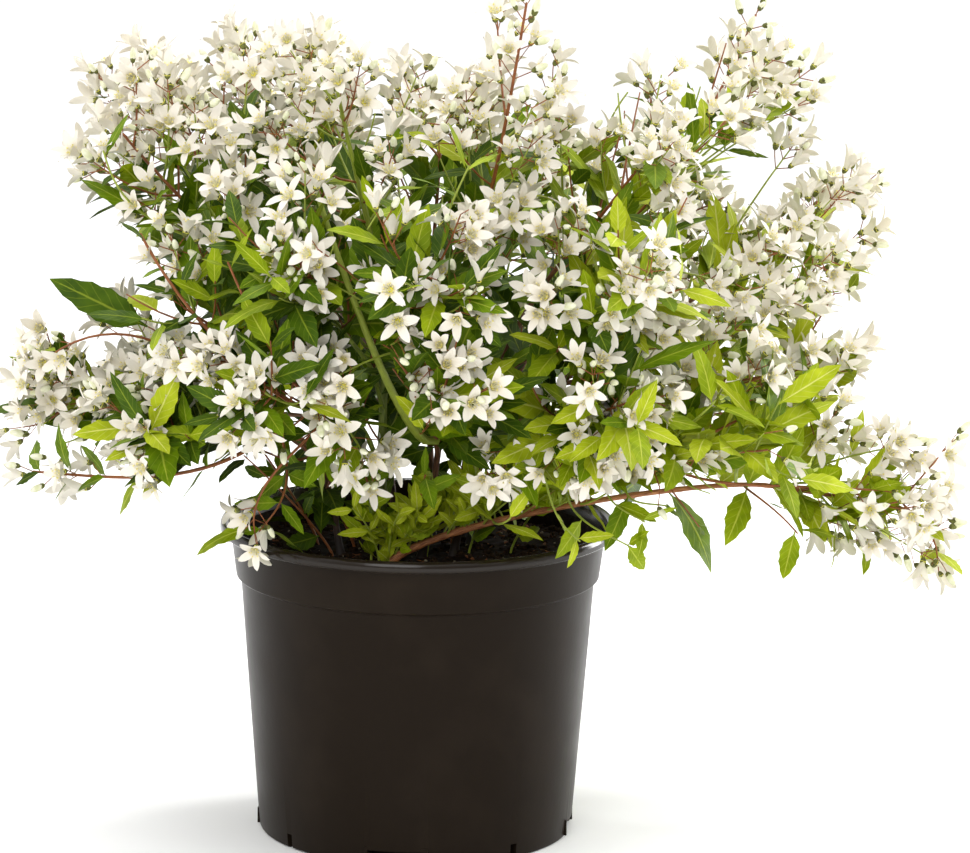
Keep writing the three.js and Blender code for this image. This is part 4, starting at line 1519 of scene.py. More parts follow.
    def grow_mass(self, limb: Limb) -> None:
        """Grows one mass on from its limb's tip, by the source's rule, with more and finer shoots.

        Args:
            limb: The limb that carries it.
        """
        mass = limb.mass
        tip = limb.path.at(1)
        heading = self.skeleton.heading(mass)
        bend = tip + heading * self.skeleton.entry
        forward = mass.raceme[0] * MM if mass.raceme else self.stem_forward * mass.fullness
        rise = mass.raceme[1] * MM if mass.raceme else self.stem_rise
        path = Path((tip, bend, bend + heading * forward + UP * rise), 24)
        self.twig(path, limb.radius_at(1.0) / MM, limb.bark, 6, 16)
        turn = self.random.between(0, math.pi)
        leafy = self.raceme_leafy if mass.raceme else 1.0
        for i in range(self.stem_nodes):
            share = (0.06 + 0.84 * i / (self.stem_nodes - 1)) * leafy
            place = path.at(share)
            for along, side in self.opposite(path, share, turn + i * math.pi / 2):
                length = self.shoot_length * mass.fullness * self.random.between(0.72, 1.08)
                length *= 1.1 - 0.35 * share
                blooming = self.random.value() < self.bloom_share(place + side * length * 0.7, mass)
                self.shoot(limb, place, along, side, length, blooming)
                self.leaf(place, along * 0.5 + side, limb, self.random.between(0.8, 1.2))
        if mass.raceme:
            self.raceme(limb, path)
        else:
            self.panicle(limb, path, 0.72)

    def bloom_share(self, place: Vector, mass: Place) -> float:
        """Gives how likely a shoot is to flower: most on the upper side of its mass."""
        height = (place.z / MM - mass.height) / 60
        return min(0.98, max(0.04, mass.bloom + 0.3 * height))

    def shoot(
        self, limb: Limb, place: Vector, along: Vector, side: Vector, length: float, blooming: bool
    ) -> None:
        """Grows one side shoot with its leaf pairs, and its flowers where it blooms.

        Args:
            limb: The limb whose mass it belongs to.
            place: Where it leaves its twig.
            along: The way that twig runs.
            side: The way it leaves it.
            length: How long it is.
            blooming: Whether it ends in flowers.
        """
        splay = math.radians(self.shoot_splay + self.random.between(-12, 10))
        leave = along * math.cos(splay) + side * math.sin(splay)
        middle = place + leave * length * 0.5
        end = place + leave * length + UP * self.shoot_lift * length + along * self.shoot_lead * length
        if not self.in_space(end, limb) and (end - limb.mass.point()).length < self.shoot_reach:
            return
        if not self.in_frame(end, 3 * MM) or not self.in_frame(middle):
            return
        path = Path((place, middle, end), 12)
        self.twig(path, 0.62, GREEN if self.random.value() < 0.55 else RUSSET)
        shares = (0.3,) if blooming else (0.3, 0.6, 0.88)

        def size_at(share: float) -> float:
            """Gives a leaf's size at a share of the shoot's length."""
            return self.random.between(0.62, 1.0) * (1.0 - 0.2 * share)

        self.leaf_pairs(path, shares, self.random.between(0, math.pi), size_at, limb=limb)
        if blooming:
            self.panicle(limb, path, 0.6)

    def painted_light(self, place: Vector) -> float:
        """Gives how bright a leaf's green is, as painted light and shade.

        Painted light brightens leaves low down and on the right, and painted shade darkens them inside the
        crown and in the front's middle. A random share varies the tone from leaf to leaf.

        Args:
            place: Where the leaf is.

        Returns:
            The brightness: under 0.25 for the deepest green, and over 0.75 for the young, lit green.
        """
        # Painted shade inside the crown and in the front's middle; painted light low down and on the right.
        inner = max(0.0, self.lit_depth - self.depth(place))
        aside = max(0.0, 1 - abs(place.x - self.shaded_middle[0]) / self.shaded_half[0])
        aloft = max(0.0, 1 - abs(place.z - self.shaded_middle[1]) / self.shaded_half[1])
        sunny = 0.55 + (place.x * 0.9 - place.z + 0.26) * 1.5
        return sunny - inner * 0.8 - aside * aloft * 0.35 + self.random.between(-0.45, 0.42)

    def leaf(
        self, place: Vector, main: Vector, limb: Limb | None, size: float,
        tint: Tint | None = None, breadth: float = 1.0,
    ) -> None:
        """Sets one leaf.

        Args:
            place: Where its stalk leaves the twig.
            main: The way it points.
            limb: The limb whose mass it keeps to, if any.
            size: Its length as a factor.
            tint: Its green, where it isn't left to its place.
            breadth: Its width as a factor.
        """
        main = (main.normalized() + UP * self.random.between(-0.1, 0.5)).normalized()
        if main.z < self.lowest_slope and limb is not None:
            main = Vector((main.x, main.y, self.lowest_slope + self.random.between(0, 0.3))).normalized()
        length = self.leaf_length * size
        middle = place + main * length * 0.6
        wander = Vector([self.random.between(-0.45, 0.45) for _ in range(3)])
        up = self.skeleton.outward(place) * self.random.between(0.1, 1.3) + UP * 0.6 + wander
        painted_light = self.painted_light(place)
        kind = int(self.random.value() * self.leaf_kinds)
        if not self.in_space(middle, limb) or not self.in_frame(middle):
            return
        if not self.in_frame(place + main * length, 2 * MM):
            return
        spots = [place + main * length * share for share in (0.3, 0.6, 0.9)]
        room = self.limb_room * min(1.0, size)
        if any(self.hides_limb(spot, room) or self.in_ovals(spot, WINDOWS) for spot in spots):
            return
        if self.limb_tree.find(middle)[2] < self.leaf_clearance:
            return
        bare = (middle.z - self.leafy_height) / (self.leafless_height - self.leafy_height)
        if limb is not None and self.random.value() < bare:
            return
        if limb is not None and place.x > self.sparse_from and place.z < self.sparse_below:
            far = place.x > self.sparsest_from
            if self.random.value() < (self.left_out_far if far else self.left_out):
                return
            length *= 1.0 if far else self.sparse_length
        side, face = across_of(main, up)
        # Left to its place, a leaf's green is painted light and shade.
        if tint is None:
            tint = list(Tint)[min(3, int(min(1.0, max(0.0, painted_light)) * 4))]
        leaf_frame = frame_of(place, main * length, side * length * breadth, face * length)
        self.leaves.setdefault((tint, kind), []).append(leaf_frame)

    def panicle(self, limb: Limb | None, path: Path, start: float) -> None:
        """Sets the flowers and buds along the end of a shoot.

        Args:
            limb: The limb whose mass it keeps to, if any.
            path: The shoot's middle line.
            start: The share of the shoot where the flowers start.
        """
        turn = self.random.between(0, math.pi)
        for i in range(self.panicle_ranks):
            share = start + (1 - start) * i / (self.panicle_ranks - 1)
            for along, out in self.opposite(path, share, turn + i * math.pi / 2):
                stalk = self.random.between(7.5, 12.5) * MM * (1.1 - 0.3 * share)
                self.flower(limb, path.at(share), along * 0.75 + out, stalk, 0.1 + 0.13 * i)
        self.flower(limb, path.at(1), path.heading(1), 7 * MM, 0.2)

    def raceme(self, limb: Limb, path: Path) -> None:
        """Sets the slender leader of a mass, with open flowers at its foot and buds at its tip.

        Args:
            limb: The limb whose mass it belongs to.
            path: The middle line of the mass's stem.
        """
        turn = self.random.between(0, math.pi)
        for i in range(self.raceme_ranks):
            rank = i / (self.raceme_ranks - 1)
            share = self.raceme_leafy + 0.04 + (0.95 - self.raceme_leafy) * rank
            for along, out in self.opposite(path, share, turn + i * math.pi / 2):
                stalk = self.random.between(8, 13) * MM * (1.15 - 0.6 * rank)
                self.flower(limb, path.at(share), along * 0.8 + out, stalk, 0.15 + 0.95 * rank)
        self.flower(limb, path.at(1), path.heading(1), 6 * MM, 1.0)

    def flower(self, limb: Limb | None, place: Vector, way: Vector, stalk: float, bud_share: float) -> None:
        """Sets one flower or bud on its stalk.

        Args:
            limb: The limb whose mass it keeps to, if any.
            place: Where the stalk starts.
            way: The way the stalk runs.
            stalk: The stalk's length.
            bud_share: How likely it is to be still a bud.
        """
        way = way.normalized()
        base = place + way * stalk
        wander = Vector([self.random.between(-0.5, 0.5) for _ in range(3)])
        axis = (way * 0.7 + self.skeleton.outward(base) * 0.55 + wander + UP * 0.05).normalized()
        middle = base + axis * 5 * MM
        is_bud = self.random.value() < bud_share
        size = self.random.between(0.6, 1.12) if is_bud else self.random.between(0.86, 1.12)
        roll = self.random.between(0, 2 * math.pi)
        kind = int(self.random.value() * self.flower_kinds)
        if not self.in_frame(middle, (3 if is_bud else 8) * MM) or not self.in_space(middle, limb):
            return
        leafy = self.depth(middle) < self.flowering_depth or self.in_ovals(middle, LEAFY_PLACES)
        if limb is not None and leafy:
            return
        if self.hides_limb(middle, self.limb_room + 3 * MM) or self.in_ovals(middle, WINDOWS):
            return
        room = self.flower_room * (0.5 if is_bud else 1.0)
        if any((middle - other).length_squared < room * room for other in self.flower_points):
            return
        if self.limb_tree.find(middle)[2] < self.flower_clearance:
            return
        self.flower_points.append(middle)
        side, other = across_of(way, UP)
        self.stalks.append(frame_of(place, side, other, way * (stalk + 0.5 * MM)))
        side, other = across_of(axis, UP)
        first = side * math.cos(roll) + other * math.sin(roll)
        held = self.buds if is_bud else self.flowers.setdefault(kind, [])
        held.append(frame_of(base, first * size, axis.cross(first) * size, axis * size))

    def depth(self, point: Vector) -> float:
        """Gives how far out a point is: 0 at the crown's heart, about 1 at its outside."""
        wide, deep, high = self.crown_span
        return math.hypot(point.x / wide, point.y / deep, (point.z - self.skeleton.heart_height) / high)

    def flower_shapes(self) -> list[FlowerShape]:
        """Gives the kinds of flower, from bells to wide stars."""
        openings = [24 + 46 * i / (self.flower_kinds - 1) for i in range(self.flower_kinds)]
        return [FlowerShape(opening, 31 + 17 * i) for i, opening in enumerate(openings)]

    def leaf_shapes(self) -> list[LeafShape]:
        """Gives the kinds of leaf, from flat to well folded and arched."""
        random = SeededRandom(97)
        return [
            LeafShape(
                width=random.between(0.34, 0.45),
                fold=random.between(0.05, 0.32),
                arch=random.between(0.12, 0.75),
                wave=random.between(-0.2, 0.2),
            )
            for _ in range(self.leaf_kinds)
        ]


# Seating pieces on the frame


def seat(piece: bpy.types.Object, nodes: Sequence[str] = ()) -> None:
    """Makes a piece ride with the plant, and hides the frame's nodes that it stands for.

    Args:
        piece: The piece.
        nodes: The frame's nodes that it replaces.
    """
    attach(piece, "root")
    if nodes:
        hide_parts(*nodes)
    log.info("%s: %d faces", piece.name, len(piece.data.polygons))


def seat_joined(
    name: str, parts: Iterable[tuple[Form, Sequence[np.ndarray]]], material: bpy.types.Material,
    nodes: Sequence[str],
) -> None:
    """Joins copies of forms into pieces that stay under the limit of triangles, and seats them.

    Args:
        name: The pieces' name, to which each adds its number.
        parts: Each form with the frames of its copies.
        material: The one material.
        nodes: The frame's nodes that the pieces stand for.
    """
    held: list[Form] = []
    load = 0
    pieces: list[Form] = []
    for form, frames in parts:
        a_copy = 2 * len(form.faces)
        start = 0
        while start < len(frames):
            room = max(1, (TRIANGLES_A_PIECE - load) // a_copy)
            taken = frames[start : start + room]
            held.append(form.copies(taken))
            load += a_copy * len(taken)
            start += len(taken)
            if load + a_copy > TRIANGLES_A_PIECE:
                pieces.append(Form.join(held))
                held, load = [], 0
    if held:
        pieces.append(Form.join(held))
    for i, form in enumerate(pieces):
        seat(object_from(name if len(pieces) == 1 else f"{name}_{i + 1}", form, material), nodes)


# The pot, the compost and the studio


@dataclass
class NurseryPot:
    """The round black pot, with its rolled lip, its collar and the drain pockets in its foot."""

    height: float = 151 * MM
    foot_radius: float = 75.4 * MM
    ledge_radius: float = 84.8 * MM
    ledge_height: float = 123.5 * MM
    collar_foot: float = 87 * MM
    collar_top: float = 89.7 * MM
    lip_radius: float = 95 * MM
    lip_height: float = 6 * MM
    wall: float = 1.5 * MM
    floor: float = 2 * MM
    segments: int = 192
    pocket_width: float = 27 * MM
    pocket_depth: float = 18 * MM
    pocket_height: float = 7 * MM
    slit_width: float = 3.5 * MM
    slit_depth: float = 5 * MM
    pocket_turn: float = 263.0
    slit_turn: float = 308.0
    pockets: int = 4
    sharp_edge: float = 32.0

    def profile(self) -> list[tuple[float, float]]:
        """Gives the wall's closed outline, from the middle of the underside round to the inner floor.

        Each mark is a radius and how far out from it, and a height and how far up from it, in millimetres.

        Returns:
            The radius and height of each point in metres.
        """
        lip_foot = self.height - self.lip_height
        half_way = (self.foot_radius + self.ledge_radius) / 2
        foot, ledge, collar, top, lip = (
            self.foot_radius, self.ledge_radius, self.collar_foot, self.collar_top, self.lip_radius
        )
        marks = (
            (0, 0.01, 0, 0), (foot, -1.5, 0, 0), (foot, -0.5, 0, 0.4), (foot, 0, 0, 1.5),
            (half_way, 0, self.ledge_height / 2, 0),
            (ledge, -0.15, self.ledge_height, -1.2), (ledge, 0.1, self.ledge_height, -0.2),
            (collar, -0.6, self.ledge_height, 0.5), (collar, 0, self.ledge_height, 1.2),
            (top, -0.2, lip_foot, -1.2), (top, 0.4, lip_foot, 0.1),
            (lip, -1.2, lip_foot, 0.3), (lip, -0.35, lip_foot, 1.0),
            (lip, 0, lip_foot, 2.4), (lip, -0.3, lip_foot, 4.4),
            (lip, -1.0, self.height, -0.5), (lip, -1.9, self.height, 0), (lip, -3.2, self.height, -0.25),
            (lip, -4.2, self.height, -1.1), (lip, -4.8, self.height, -3.0),
            (top - self.wall, 0, lip_foot, 0), (collar - self.wall, 0, self.ledge_height, 2.4),
            (ledge - self.wall, 0, self.ledge_height, 0.6), (foot - self.wall, 0, self.floor, 0),
            (0, 0.01, self.floor, 0),
        )
        return [(radius + out * MM, height + up * MM) for radius, out, height, up in marks]

    def block(
        self, turn: float, width: float, reach: tuple[float, float], levels: tuple[float, float],
        material: bpy.types.Material,
    ) -> bpy.types.Object:
        """Makes a box at the foot for cutting or joining.

        Args:
            turn: Its turn about the pot, in degrees.
            width: Its size across.
            reach: Its near and far reach from the axis.
            levels: Its lowest and highest level.
            material: The pot's finish.

        Returns:
            The box as an object.
        """
        inner, outer = reach
        half = width / 2
        outline = ((inner, -half), (outer, -half), (outer, half), (inner, half))
        corners = np.array([(x, y, z) for z in levels for x, y in outline])
        angle = math.radians(turn)
        turned = corners.copy()
        turned[:, 0] = corners[:, 0] * math.cos(angle) - corners[:, 1] * math.sin(angle)
        turned[:, 1] = corners[:, 0] * math.sin(angle) + corners[:, 1] * math.cos(angle)
        faces = np.array([(3, 2, 1, 0), (4, 5, 6, 7), (0, 1, 5, 4), (1, 2, 6, 5), (2, 3, 7, 6), (3, 0, 4, 7)])
        return object_from("pot_block", Form(turned, faces, np.zeros((8, 2))), material)

    def build(self) -> None:
        """Builds the pot, with its pockets and slits cut one after another from covered walls."""
        material = MouldedPolypropylene().material()
        form = turned_form(self.profile(), self.segments)
        for ring in (slice(0, self.segments), slice(-self.segments, None)):
            form.corners[ring] = form.corners[ring].mean(axis=0)
        pot = object_from("nursery_pot", form, material)
        pot.modifiers.new("weld", "WELD").merge_threshold = 0.001 * MM
        apply_modifiers(pot)
        for width, depth, first in (
            (self.pocket_width, self.pocket_depth, self.pocket_turn),
            (self.slit_width, self.slit_depth, self.slit_turn),
        ):
            inner = self.foot_radius - depth
            covered = (inner - self.wall, self.foot_radius - 0.4 * MM)
            cover_levels = (self.floor / 2, self.pocket_height + self.wall)
            open_to = (inner, self.foot_radius + 9 * MM)
            for i in range(self.pockets):
                turn = first + 360 / self.pockets * i
                cover = self.block(turn, width + 2 * self.wall, covered, cover_levels, material)
                combine(pot, cover, "UNION")
                cut = self.block(turn, width, open_to, (-MM, self.pocket_height), material)
                combine(pot, cut, "DIFFERENCE")
        pot.data.polygons.foreach_set("use_smooth", np.full(len(pot.data.polygons), True))
        pot.data.set_sharp_from_angle(angle=math.radians(self.sharp_edge))
        seat(pot, ["pot"])


def combine(piece: bpy.types.Object, tool: bpy.types.Object, operation: str) -> None:
    """Cuts or joins a piece with a tool, and removes the tool.

    Args:
        piece: The object that changes.
        tool: The object that it is cut or joined with.
        operation: UNION or DIFFERENCE.
    """
    modifier = piece.modifiers.new("combine", "BOOLEAN")
    modifier.operation = operation
    modifier.solver = "EXACT"
    modifier.object = tool
    apply_modifiers(piece)
    bpy.data.objects.remove(tool)


def apply_modifiers(piece: bpy.types.Object) -> None:
    """Replaces a piece's mesh by what its modifiers make of it.

    Args:
        piece: The object that changes.
    """
    graph = bpy.context.evaluated_depsgraph_get()
    mesh = bpy.data.meshes.new_from_object(piece.evaluated_get(graph))
    piece.modifiers.clear()
    piece.data = mesh


def crumb_form(seed: int, sides: int = 6, rings: int = 4) -> Form:
    """Makes one angular crumb of unit size.

    Args:
        seed: Where its run of random numbers starts.
        sides: How many sides it has round.
        rings: How many steps it has from pole to pole.

    Returns:
        The crumb's form.
    """
    ball = ellipsoid_form(sides, rings)
    random = SeededRandom(seed)
    corners = ball.corners.copy()
    for row in range(rings + 1):
        start = row * sides
        for corner in range(start, start + sides):
            if row in (0, rings) and corner > start:
                corners[corner] = corners[start]
            else:
                corners[corner] *= random.between(0.68, 1.2)
    return Form(corners, ball.faces, ball.places)


@dataclass
class Compost:
    """The moist compost in the pot: an uneven bed strewn with crumbs, grit and bits of bark."""

    top: float = COMPOST_TOP
    radius: float = 86 * MM
    base: float = 126 * MM
    rings: int = 60
    sides: int = 150
    roughness: float = 1.3 * MM
    sag: float = 3.2 * MM
    level_share: float = 0.72
    crumbs: int = 1500
    specks: int = 130
    chips: int = 150
    kinds: int = 4

    def height_at(self, x: np.ndarray, y: np.ndarray) -> np.ndarray:
        """Gives the bed's level, by sines of uneven pitch over a bed that sags towards the wall.

        Args:
            x: Where across the pot, in metres.
            y: Where from front to back, in metres.

        Returns:
            The level at each place.
        """
        swell = 0.9 * np.sin(x * 61 + 1.1) * np.cos(y * 73 + 0.4) + 0.6 * np.sin(x * 173 + y * 141)
        fine = 0.35 * np.sin(x * 611 + y * 257) + 0.3 * np.sin(y * 733 - x * 391)
        outside = np.clip(np.hypot(x, y) / self.radius - self.level_share, 0, 1)
        return self.top - 0.6 * MM + (swell + fine) * self.roughness * 0.6 - self.sag * outside * 3

    def bed(self) -> Form:
        """Makes the bed's form, closed below by a skirt along the pot's wall."""
        radii = np.append(np.linspace(0.01 * MM, self.radius, self.rings), self.radius)
        flat = round_form(radii[:, None], np.zeros((1, 1)), radii, self.sides)
        x, y, z = flat.corners.T
        z[:] = self.height_at(x, y)
        z[-self.sides :] = self.base
        return Form(flat.corners, flat.faces, flat.corners[:, :2] / MM)

    def film(self) -> Form:
        """Makes the film of peat that watering has left on the pot's inner wall."""
        wall = [(85.2 * MM, self.top - 5 * MM), (85.7 * MM, self.top), (86.9 * MM, self.top + 5.6 * MM)]
        inner = [(radius - 0.5 * MM, height) for radius, height in reversed(wall)]
        return turned_form([*wall, *inner, wall[0]], self.sides)

    def scatter(self, count: int, seed: int, sizes: tuple[float, float], stretch: float) -> list[np.ndarray]:
        """Strews small bits over the bed.

        Args:
            count: How many there are.
            seed: Where their run of random numbers starts.
            sizes: Their smallest and largest half width, in metres.
            stretch: How much longer than wide they are.

        Returns:
            A placing matrix for each.
        """
        random = SeededRandom(seed)
        frames = []
        for _ in range(count):
            reach = self.radius * 0.965 * math.sqrt(random.value())
            angle = random.between(0, 2 * math.pi)
            x, y = reach * math.cos(angle), reach * math.sin(angle)
            size = sizes[0] + (sizes[1] - sizes[0]) * random.value() ** 2
            level = float(self.height_at(np.array(x), np.array(y)))
            main = Vector([random.between(-limit, limit) for limit in (1, 1, 0.3)]).normalized()
            side, other = across_of(main, UP)
            origin = Vector((x, y, level + size * random.between(-0.2, 0.45)))
            wide = side * size * random.between(0.6, 1)
            frames.append(frame_of(origin, main * size * stretch, wide, other * size * 0.7))
        return frames

    def build(self) -> None:
        """Builds the compost and what lies on it."""
        # Moist peat is nearly black with a broken, matt grain. Its crumbs are a touch lighter, the grit is
        # a dull cream, and the milled chips are warm brown flecks.
        peat = SpeckledMatter("compost_moist_peat", "#0B0705", "#271B12", 2.4, 0.9, 0.8, 0.08).material()
        crumb = SpeckledMatter("compost_crumb", "#110B07", "#38281A", 1.6, 0.9, 0.3, 0.08).material()
        grit = SpeckledMatter("perlite_grit", "#5C5546", "#A39A80", 1.2, 0.8, 0.2).material()
        chip = SpeckledMatter("bark_chip_milled", "#3F2413", "#84512A", 2.0, 0.8, 0.3).material()
        seat(object_from("compost_bed", self.bed(), peat), ["compost"])
        seat(object_from("compost_film", self.film(), peat))
        for name, count, seed, sizes, stretch, material in (
            ("compost_crumbs", self.crumbs, 11, (0.5 * MM, 2.4 * MM), 1.2, crumb),
            ("compost_grit", self.specks, 23, (0.3 * MM, 1.1 * MM), 1.1, grit),
            ("compost_chips", self.chips, 37, (0.35 * MM, 1.1 * MM), 4.5, chip),
        ):
            frames = self.scatter(count, seed, sizes, stretch)
            kinds = range(self.kinds)
            held = Form.join(crumb_form(seed + k).copies(frames[k :: self.kinds]) for k in kinds)
            seat(object_from(name, held, material, smooth=False))


@dataclass
class Studio:
    """The pale sweep of floor, the soft lights and the camera."""

    distance: float = EYE[0]
    eye_height: float = EYE[1]
    pitch: float = 11.4
    yaw: float = 0.78
    roll: float = 0.75
    lens: float = 182.5
    surround: float = 1.17
    surround_front: float = 0.25
    floor_half: float = 12.0
    floor_level: float = -0.2 * MM

    def camera(self) -> None:
        """Sets the camera at the photograph's place and angle."""
        data = bpy.data.cameras.new("camera")
        data.lens = self.lens
        data.sensor_width = 36
        data.clip_start = 0.05
        camera = bpy.data.objects.new("camera", data)
        camera.location = (0, -self.distance, self.eye_height)
        turn = (
            Matrix.Rotation(math.radians(-self.yaw), 3, "Z")
            @ Matrix.Rotation(math.radians(90 - self.pitch), 3, "X")
            @ Matrix.Rotation(math.radians(self.roll), 3, "Z")
        )
        camera.rotation_euler = turn.to_euler()
        bpy.context.scene.collection.objects.link(camera)
        bpy.context.scene.camera = camera

    def light(self, name: str, place: Vector, aim: Vector, size: tuple[float, float], power: float) -> None:
        """Adds one soft rectangular light.

        Args:
            name: Its name.
            place: Where it hangs.
            aim: What it points at.
            size: Its width and height.
            power: Its power in watts.
        """
        data = bpy.data.lights.new(name, "AREA")
        data.shape = "RECTANGLE"
        data.size, data.size_y = size
        data.energy = power
        lamp = bpy.data.objects.new(name, data)
        lamp.location = place
        lamp.rotation_euler = (aim - place).to_track_quat("-Z", "Y").to_euler()
        bpy.context.scene.collection.objects.link(lamp)

    def lights(self) -> None:
        """Hangs the lights and sets the white surround, which is dim low down in front of the plant."""
        heart = Vector((0, 0, 0.22))
        self.light("key_light", Vector((-0.55, -2.2, 1.25)), heart, (1.3, 1.3), 20)
        self.light("rim_light", Vector((1.5, 0.9, 0.5)), heart, (0.4, 1.2), 25)
        self.light("strip_light", Vector((0.1, 0.75, 1.5)), Vector((0, 0, 0.15)), (1.5, 0.08), 16)
        world = bpy.data.worlds.new("studio")
        world.use_nodes = True
        tree = world.node_tree
        _, back, up = add_node(tree, "SeparateXYZ", {0: add_node(tree, "TexCoord")["Generated"]})
        front = add_node(tree, "MapRange", {"Value": back, "From Min": -0.3, "From Max": -0.85})[0]
        low = add_node(tree, "MapRange", {"Value": up, "From Min": 0.65, "From Max": 0.2})[0]
        dim = add_node(tree, "Math", {"operation": "MULTIPLY", 0: front, 1: low})[0]
        levels = {"To Min": self.surround, "To Max": self.surround_front}
        strength = add_node(tree, "MapRange", {"Value": dim, **levels})[0]
        feed(tree.nodes["Background"], {"Color": (1, 1, 1, 1), "Strength": strength})
        bpy.context.scene.world = world

    def floor(self, material: bpy.types.Material) -> bpy.types.Object:
        """Lays the pale floor.

        Args:
            material: Its finish.

        Returns:
            The floor's object.
        """
        square = ((-1, -1), (1, -1), (1, 1), (-1, 1))
        corners = np.array([(x * self.floor_half, y * self.floor_half, self.floor_level) for x, y in square])
        return object_from("floor", Form(corners, np.array([(0, 1, 2, 3)]), np.zeros((4, 2))), material)


# Turning the plan into pieces


@dataclass
class LimbDress:
    """Turns the skeleton's limbs into pieces with their bark's relief.

    Args:
        skeleton: The plan of the limbs.
        node_spacing: How far apart a limb's pairs of buds are.
        ring_spacing: How far apart its rings of corners are.
    """

    skeleton: Skeleton
    node_spacing: float = 21 * MM
    ring_spacing: float = 2.2 * MM

    def form(self, limb: Limb) -> Form:
        """Makes one limb with ridged bark and a swelling at each pair of buds.

        Args:
            limb: The limb.

        Returns:
            The limb's form.
        """
        sides = 12 if limb.is_cane else 10
        rings = max(16, int(limb.path.length / self.ring_spacing))
        shares = np.linspace(0, 1, rings)
        turns = turns_of(sides)
        phase = SeededRandom(501 + limb.number).between(0, 6)
        ridges = 0.05 * np.sin(3 * turns[None, :] + phase + 7 * shares[:, None])
        ridges = ridges + 0.035 * np.sin(5 * turns[None, :] - 19 * shares[:, None] + phase)
        spacing = self.node_spacing / limb.path.length
        swell = 0.16 * np.exp(-(((shares / spacing + 0.5) % 1 - 0.5) / 0.09) ** 2)
        relief = 1 + ridges + swell[:, None]
        form = tube_form(limb.path, limb.radius_at, sides, rings, relief)
        lowest = self.skeleton.compost_top - 3 * MM if limb.is_cane else 0
        form.corners[:, 2] = np.maximum(form.corners[:, 2], lowest)
        return form

    def build(self) -> None:
        """Builds the canes and boughs, each kind of bark apart."""
        # Russet streaks over dark cracks with painted shade at the foot, paler where it peels, satin where
        # young.
        barks = {
            RUSSET: Bark("bark_russet_split", "#8E5C3A", "#4C2F1E", foot_shade="#22160E").material(),
            PEELING: Bark("bark_russet_peeling", "#C4834F", "#7A4022", 0.8).material(),
            GREEN: Bark("bark_green_young", "#8C9A3C", "#5F6E26", roughness=0.5).material(),
        }
        for kind, material in barks.items():
            for is_cane, name, slot in ((True, "canes", "cane_bark"), (False, "boughs", "bough_bark")):
                held = [limb for limb in self.skeleton.limbs if limb.bark is kind and limb.is_cane == is_cane]
                form = Form.join(self.form(limb) for limb in held)
                piece = object_from(f"{name}_{kind.value}", form, material)
                seat(piece, [limb.node for limb in held])


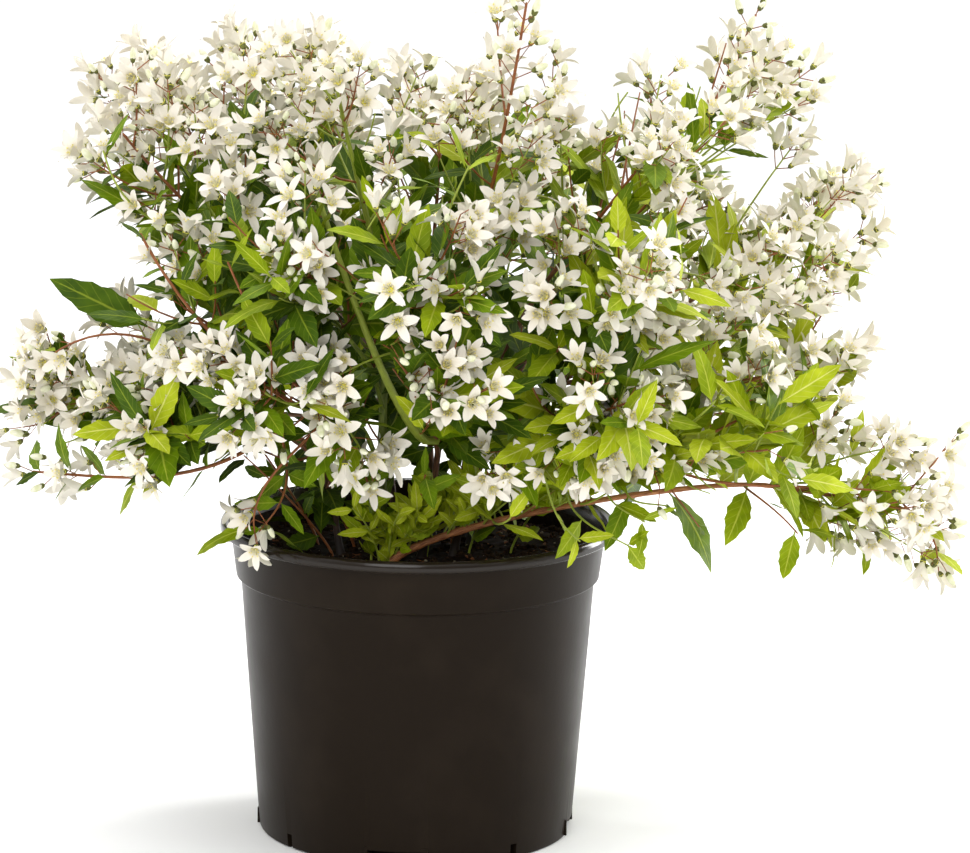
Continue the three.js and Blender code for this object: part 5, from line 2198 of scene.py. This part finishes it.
@dataclass
class CrownDress:
    """Turns what has grown in the crown into joined pieces, each kind apart, that stand for the masses."""

    crown: Crown
    nodes: Sequence[str]

    def leaves(self) -> None:
        """Builds the leaves, each green apart."""
        # Matt greens, from the crown's shade to its lit young tips, with veins a little paler.
        greens = {
            DEEP: LeafBlade("leaf_living_deep", "#4A6404", "#334C02", "#8A9A28"),
            MID: LeafBlade("leaf_living_mid", "#718D04", "#536E02", "#AAB63A"),
            BRIGHT: LeafBlade("leaf_living_bright", "#9AAD0A", "#798E04", "#C9D04E"),
            YOUNG_AND_LIT: LeafBlade("leaf_living_young_and_lit", "#BAC626", "#9CAA12", "#E0E27C"),
        }
        blades = [shape.form() for shape in self.crown.leaf_shapes()]
        for tint, finish in greens.items():
            kinds = [(blade, self.crown.leaves.get((tint, k), [])) for k, blade in enumerate(blades)]
            seat_joined(tint.value, kinds, finish.material(), self.nodes)

    def blossom(self) -> None:
        """Builds the flowers and buds, each kind of organ apart, and their stalks."""
        # Petals and filaments are a warm satin white, and buds a greener one with a faint wax sheen.
        # Nectar and pollen are soft matt yellows, and down dulls the calyces and the stalks.
        petal = PetalSkin("petal_thin_white", "#EFE9DC", "#EAE6C4")
        nectar = SpeckledMatter("throat_yellow_green", "#F4EA3E", "#FCF67E", 0.8, 0.6)
        filament = PetalSkin("filament_white", "#F8F4D2", "#F6EEA8")
        pollen = SpeckledMatter("anther_pollen_yellow", "#ECDD7C", "#F8F0B4", 0.5, 0.7)
        sepal = SpeckledMatter("calyx_downy_olive", "#4B4A26", "#7C8240", 1.2, 0.7)
        waxy = SpeckledMatter("bud_waxy_white", "#DDDFB4", "#F2F1DC", 3.0, 0.5, 0.05)
        downy = SpeckledMatter("stalk_downy_russet", "#6E3F22", "#A8673C", 1.5, 0.7)
        blossoms = self.crown.flower_shapes()
        flowers = [(blossoms[kind], frames) for kind, frames in sorted(self.crown.flowers.items())]
        budding = [*flowers, (blossoms[0], self.crown.buds)]
        for name, organ, finish, carriers in (
            ("petals", FlowerShape.petals, petal, flowers),
            ("filaments", FlowerShape.filaments, filament, flowers),
            ("anthers", FlowerShape.anthers, pollen, flowers),
            ("throats", FlowerShape.throat, nectar, flowers),
            ("calyces", FlowerShape.calyx, sepal, budding),
        ):
            parts = [(organ(shape), frames) for shape, frames in carriers]
            seat_joined(name, parts, finish.material(), self.nodes)
        seat_joined("buds", [(bud_form(), self.crown.buds)], waxy.material(), self.nodes)
        bow = Path((Vector((0, 0, 0)), Vector((0.35 * MM, 0, 0.5)), Vector((0, 0, 1))), 8)
        thin = tube_form(bow, lambda share: 0.26 * MM, 4, 4)
        seat_joined("flower_stalks", [(thin, self.crown.stalks)], downy.material(), self.nodes)

    def twigs(self) -> None:
        """Builds the twigs, the green and the russet ones apart."""
        # Young skin, smoother than bark: a soft sheen on pale green, and a duller one on russet.
        green = Bark("twig_green_soft", "#A9B644", "#83922E", roughness=0.5)
        russet = Bark("twig_russet_smooth", "#A8642F", "#6E3B1C", roughness=0.55)
        for name, twigs, finish in (
            ("twigs_green", self.crown.green_twigs, green),
            ("twigs_russet", self.crown.russet_twigs, russet),
        ):
            seat(object_from(name, Form.join(twigs), finish.material()), self.nodes)


# Putting it all together


def main() -> None:
    """Builds the plant, its pot and the studio round the frame."""
    logging.basicConfig(level=logging.INFO, format="%(message)s")
    cad_box = [list(corner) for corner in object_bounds()]
    lowest, highest = (Vector(corner) for corner in cad_box)
    studio = Studio()
    studio.camera()
    studio.lights()
    # Matt paper without a glint or relief, so that it only takes the plant's soft shade.
    paper = SpeckledMatter("paper_sweep_matt", "#F8F8F7", "#FAFAFA", 400.0, 0.9, 0.0).material()
    studio.floor(paper)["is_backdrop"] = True

    NurseryPot().build()
    Compost().build()
    skeleton = Skeleton()
    LimbDress(skeleton).build()
    crown = Crown(skeleton, lowest, highest)
    crown.grow()
    dress = CrownDress(crown, sorted(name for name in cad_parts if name.startswith("foliage")))
    dress.leaves()
    dress.blossom()
    dress.twigs()
    log.info("flowers %d, buds %d", sum(map(len, crown.flowers.values())), len(crown.buds))
    twigs = len(crown.green_twigs) + len(crown.russet_twigs)
    log.info("leaves %d, twigs %d", sum(map(len, crown.leaves.values())), twigs)

    bpy.context.scene.view_settings.view_transform = "Standard"
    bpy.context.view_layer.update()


if __name__ == "__main__":
    main()
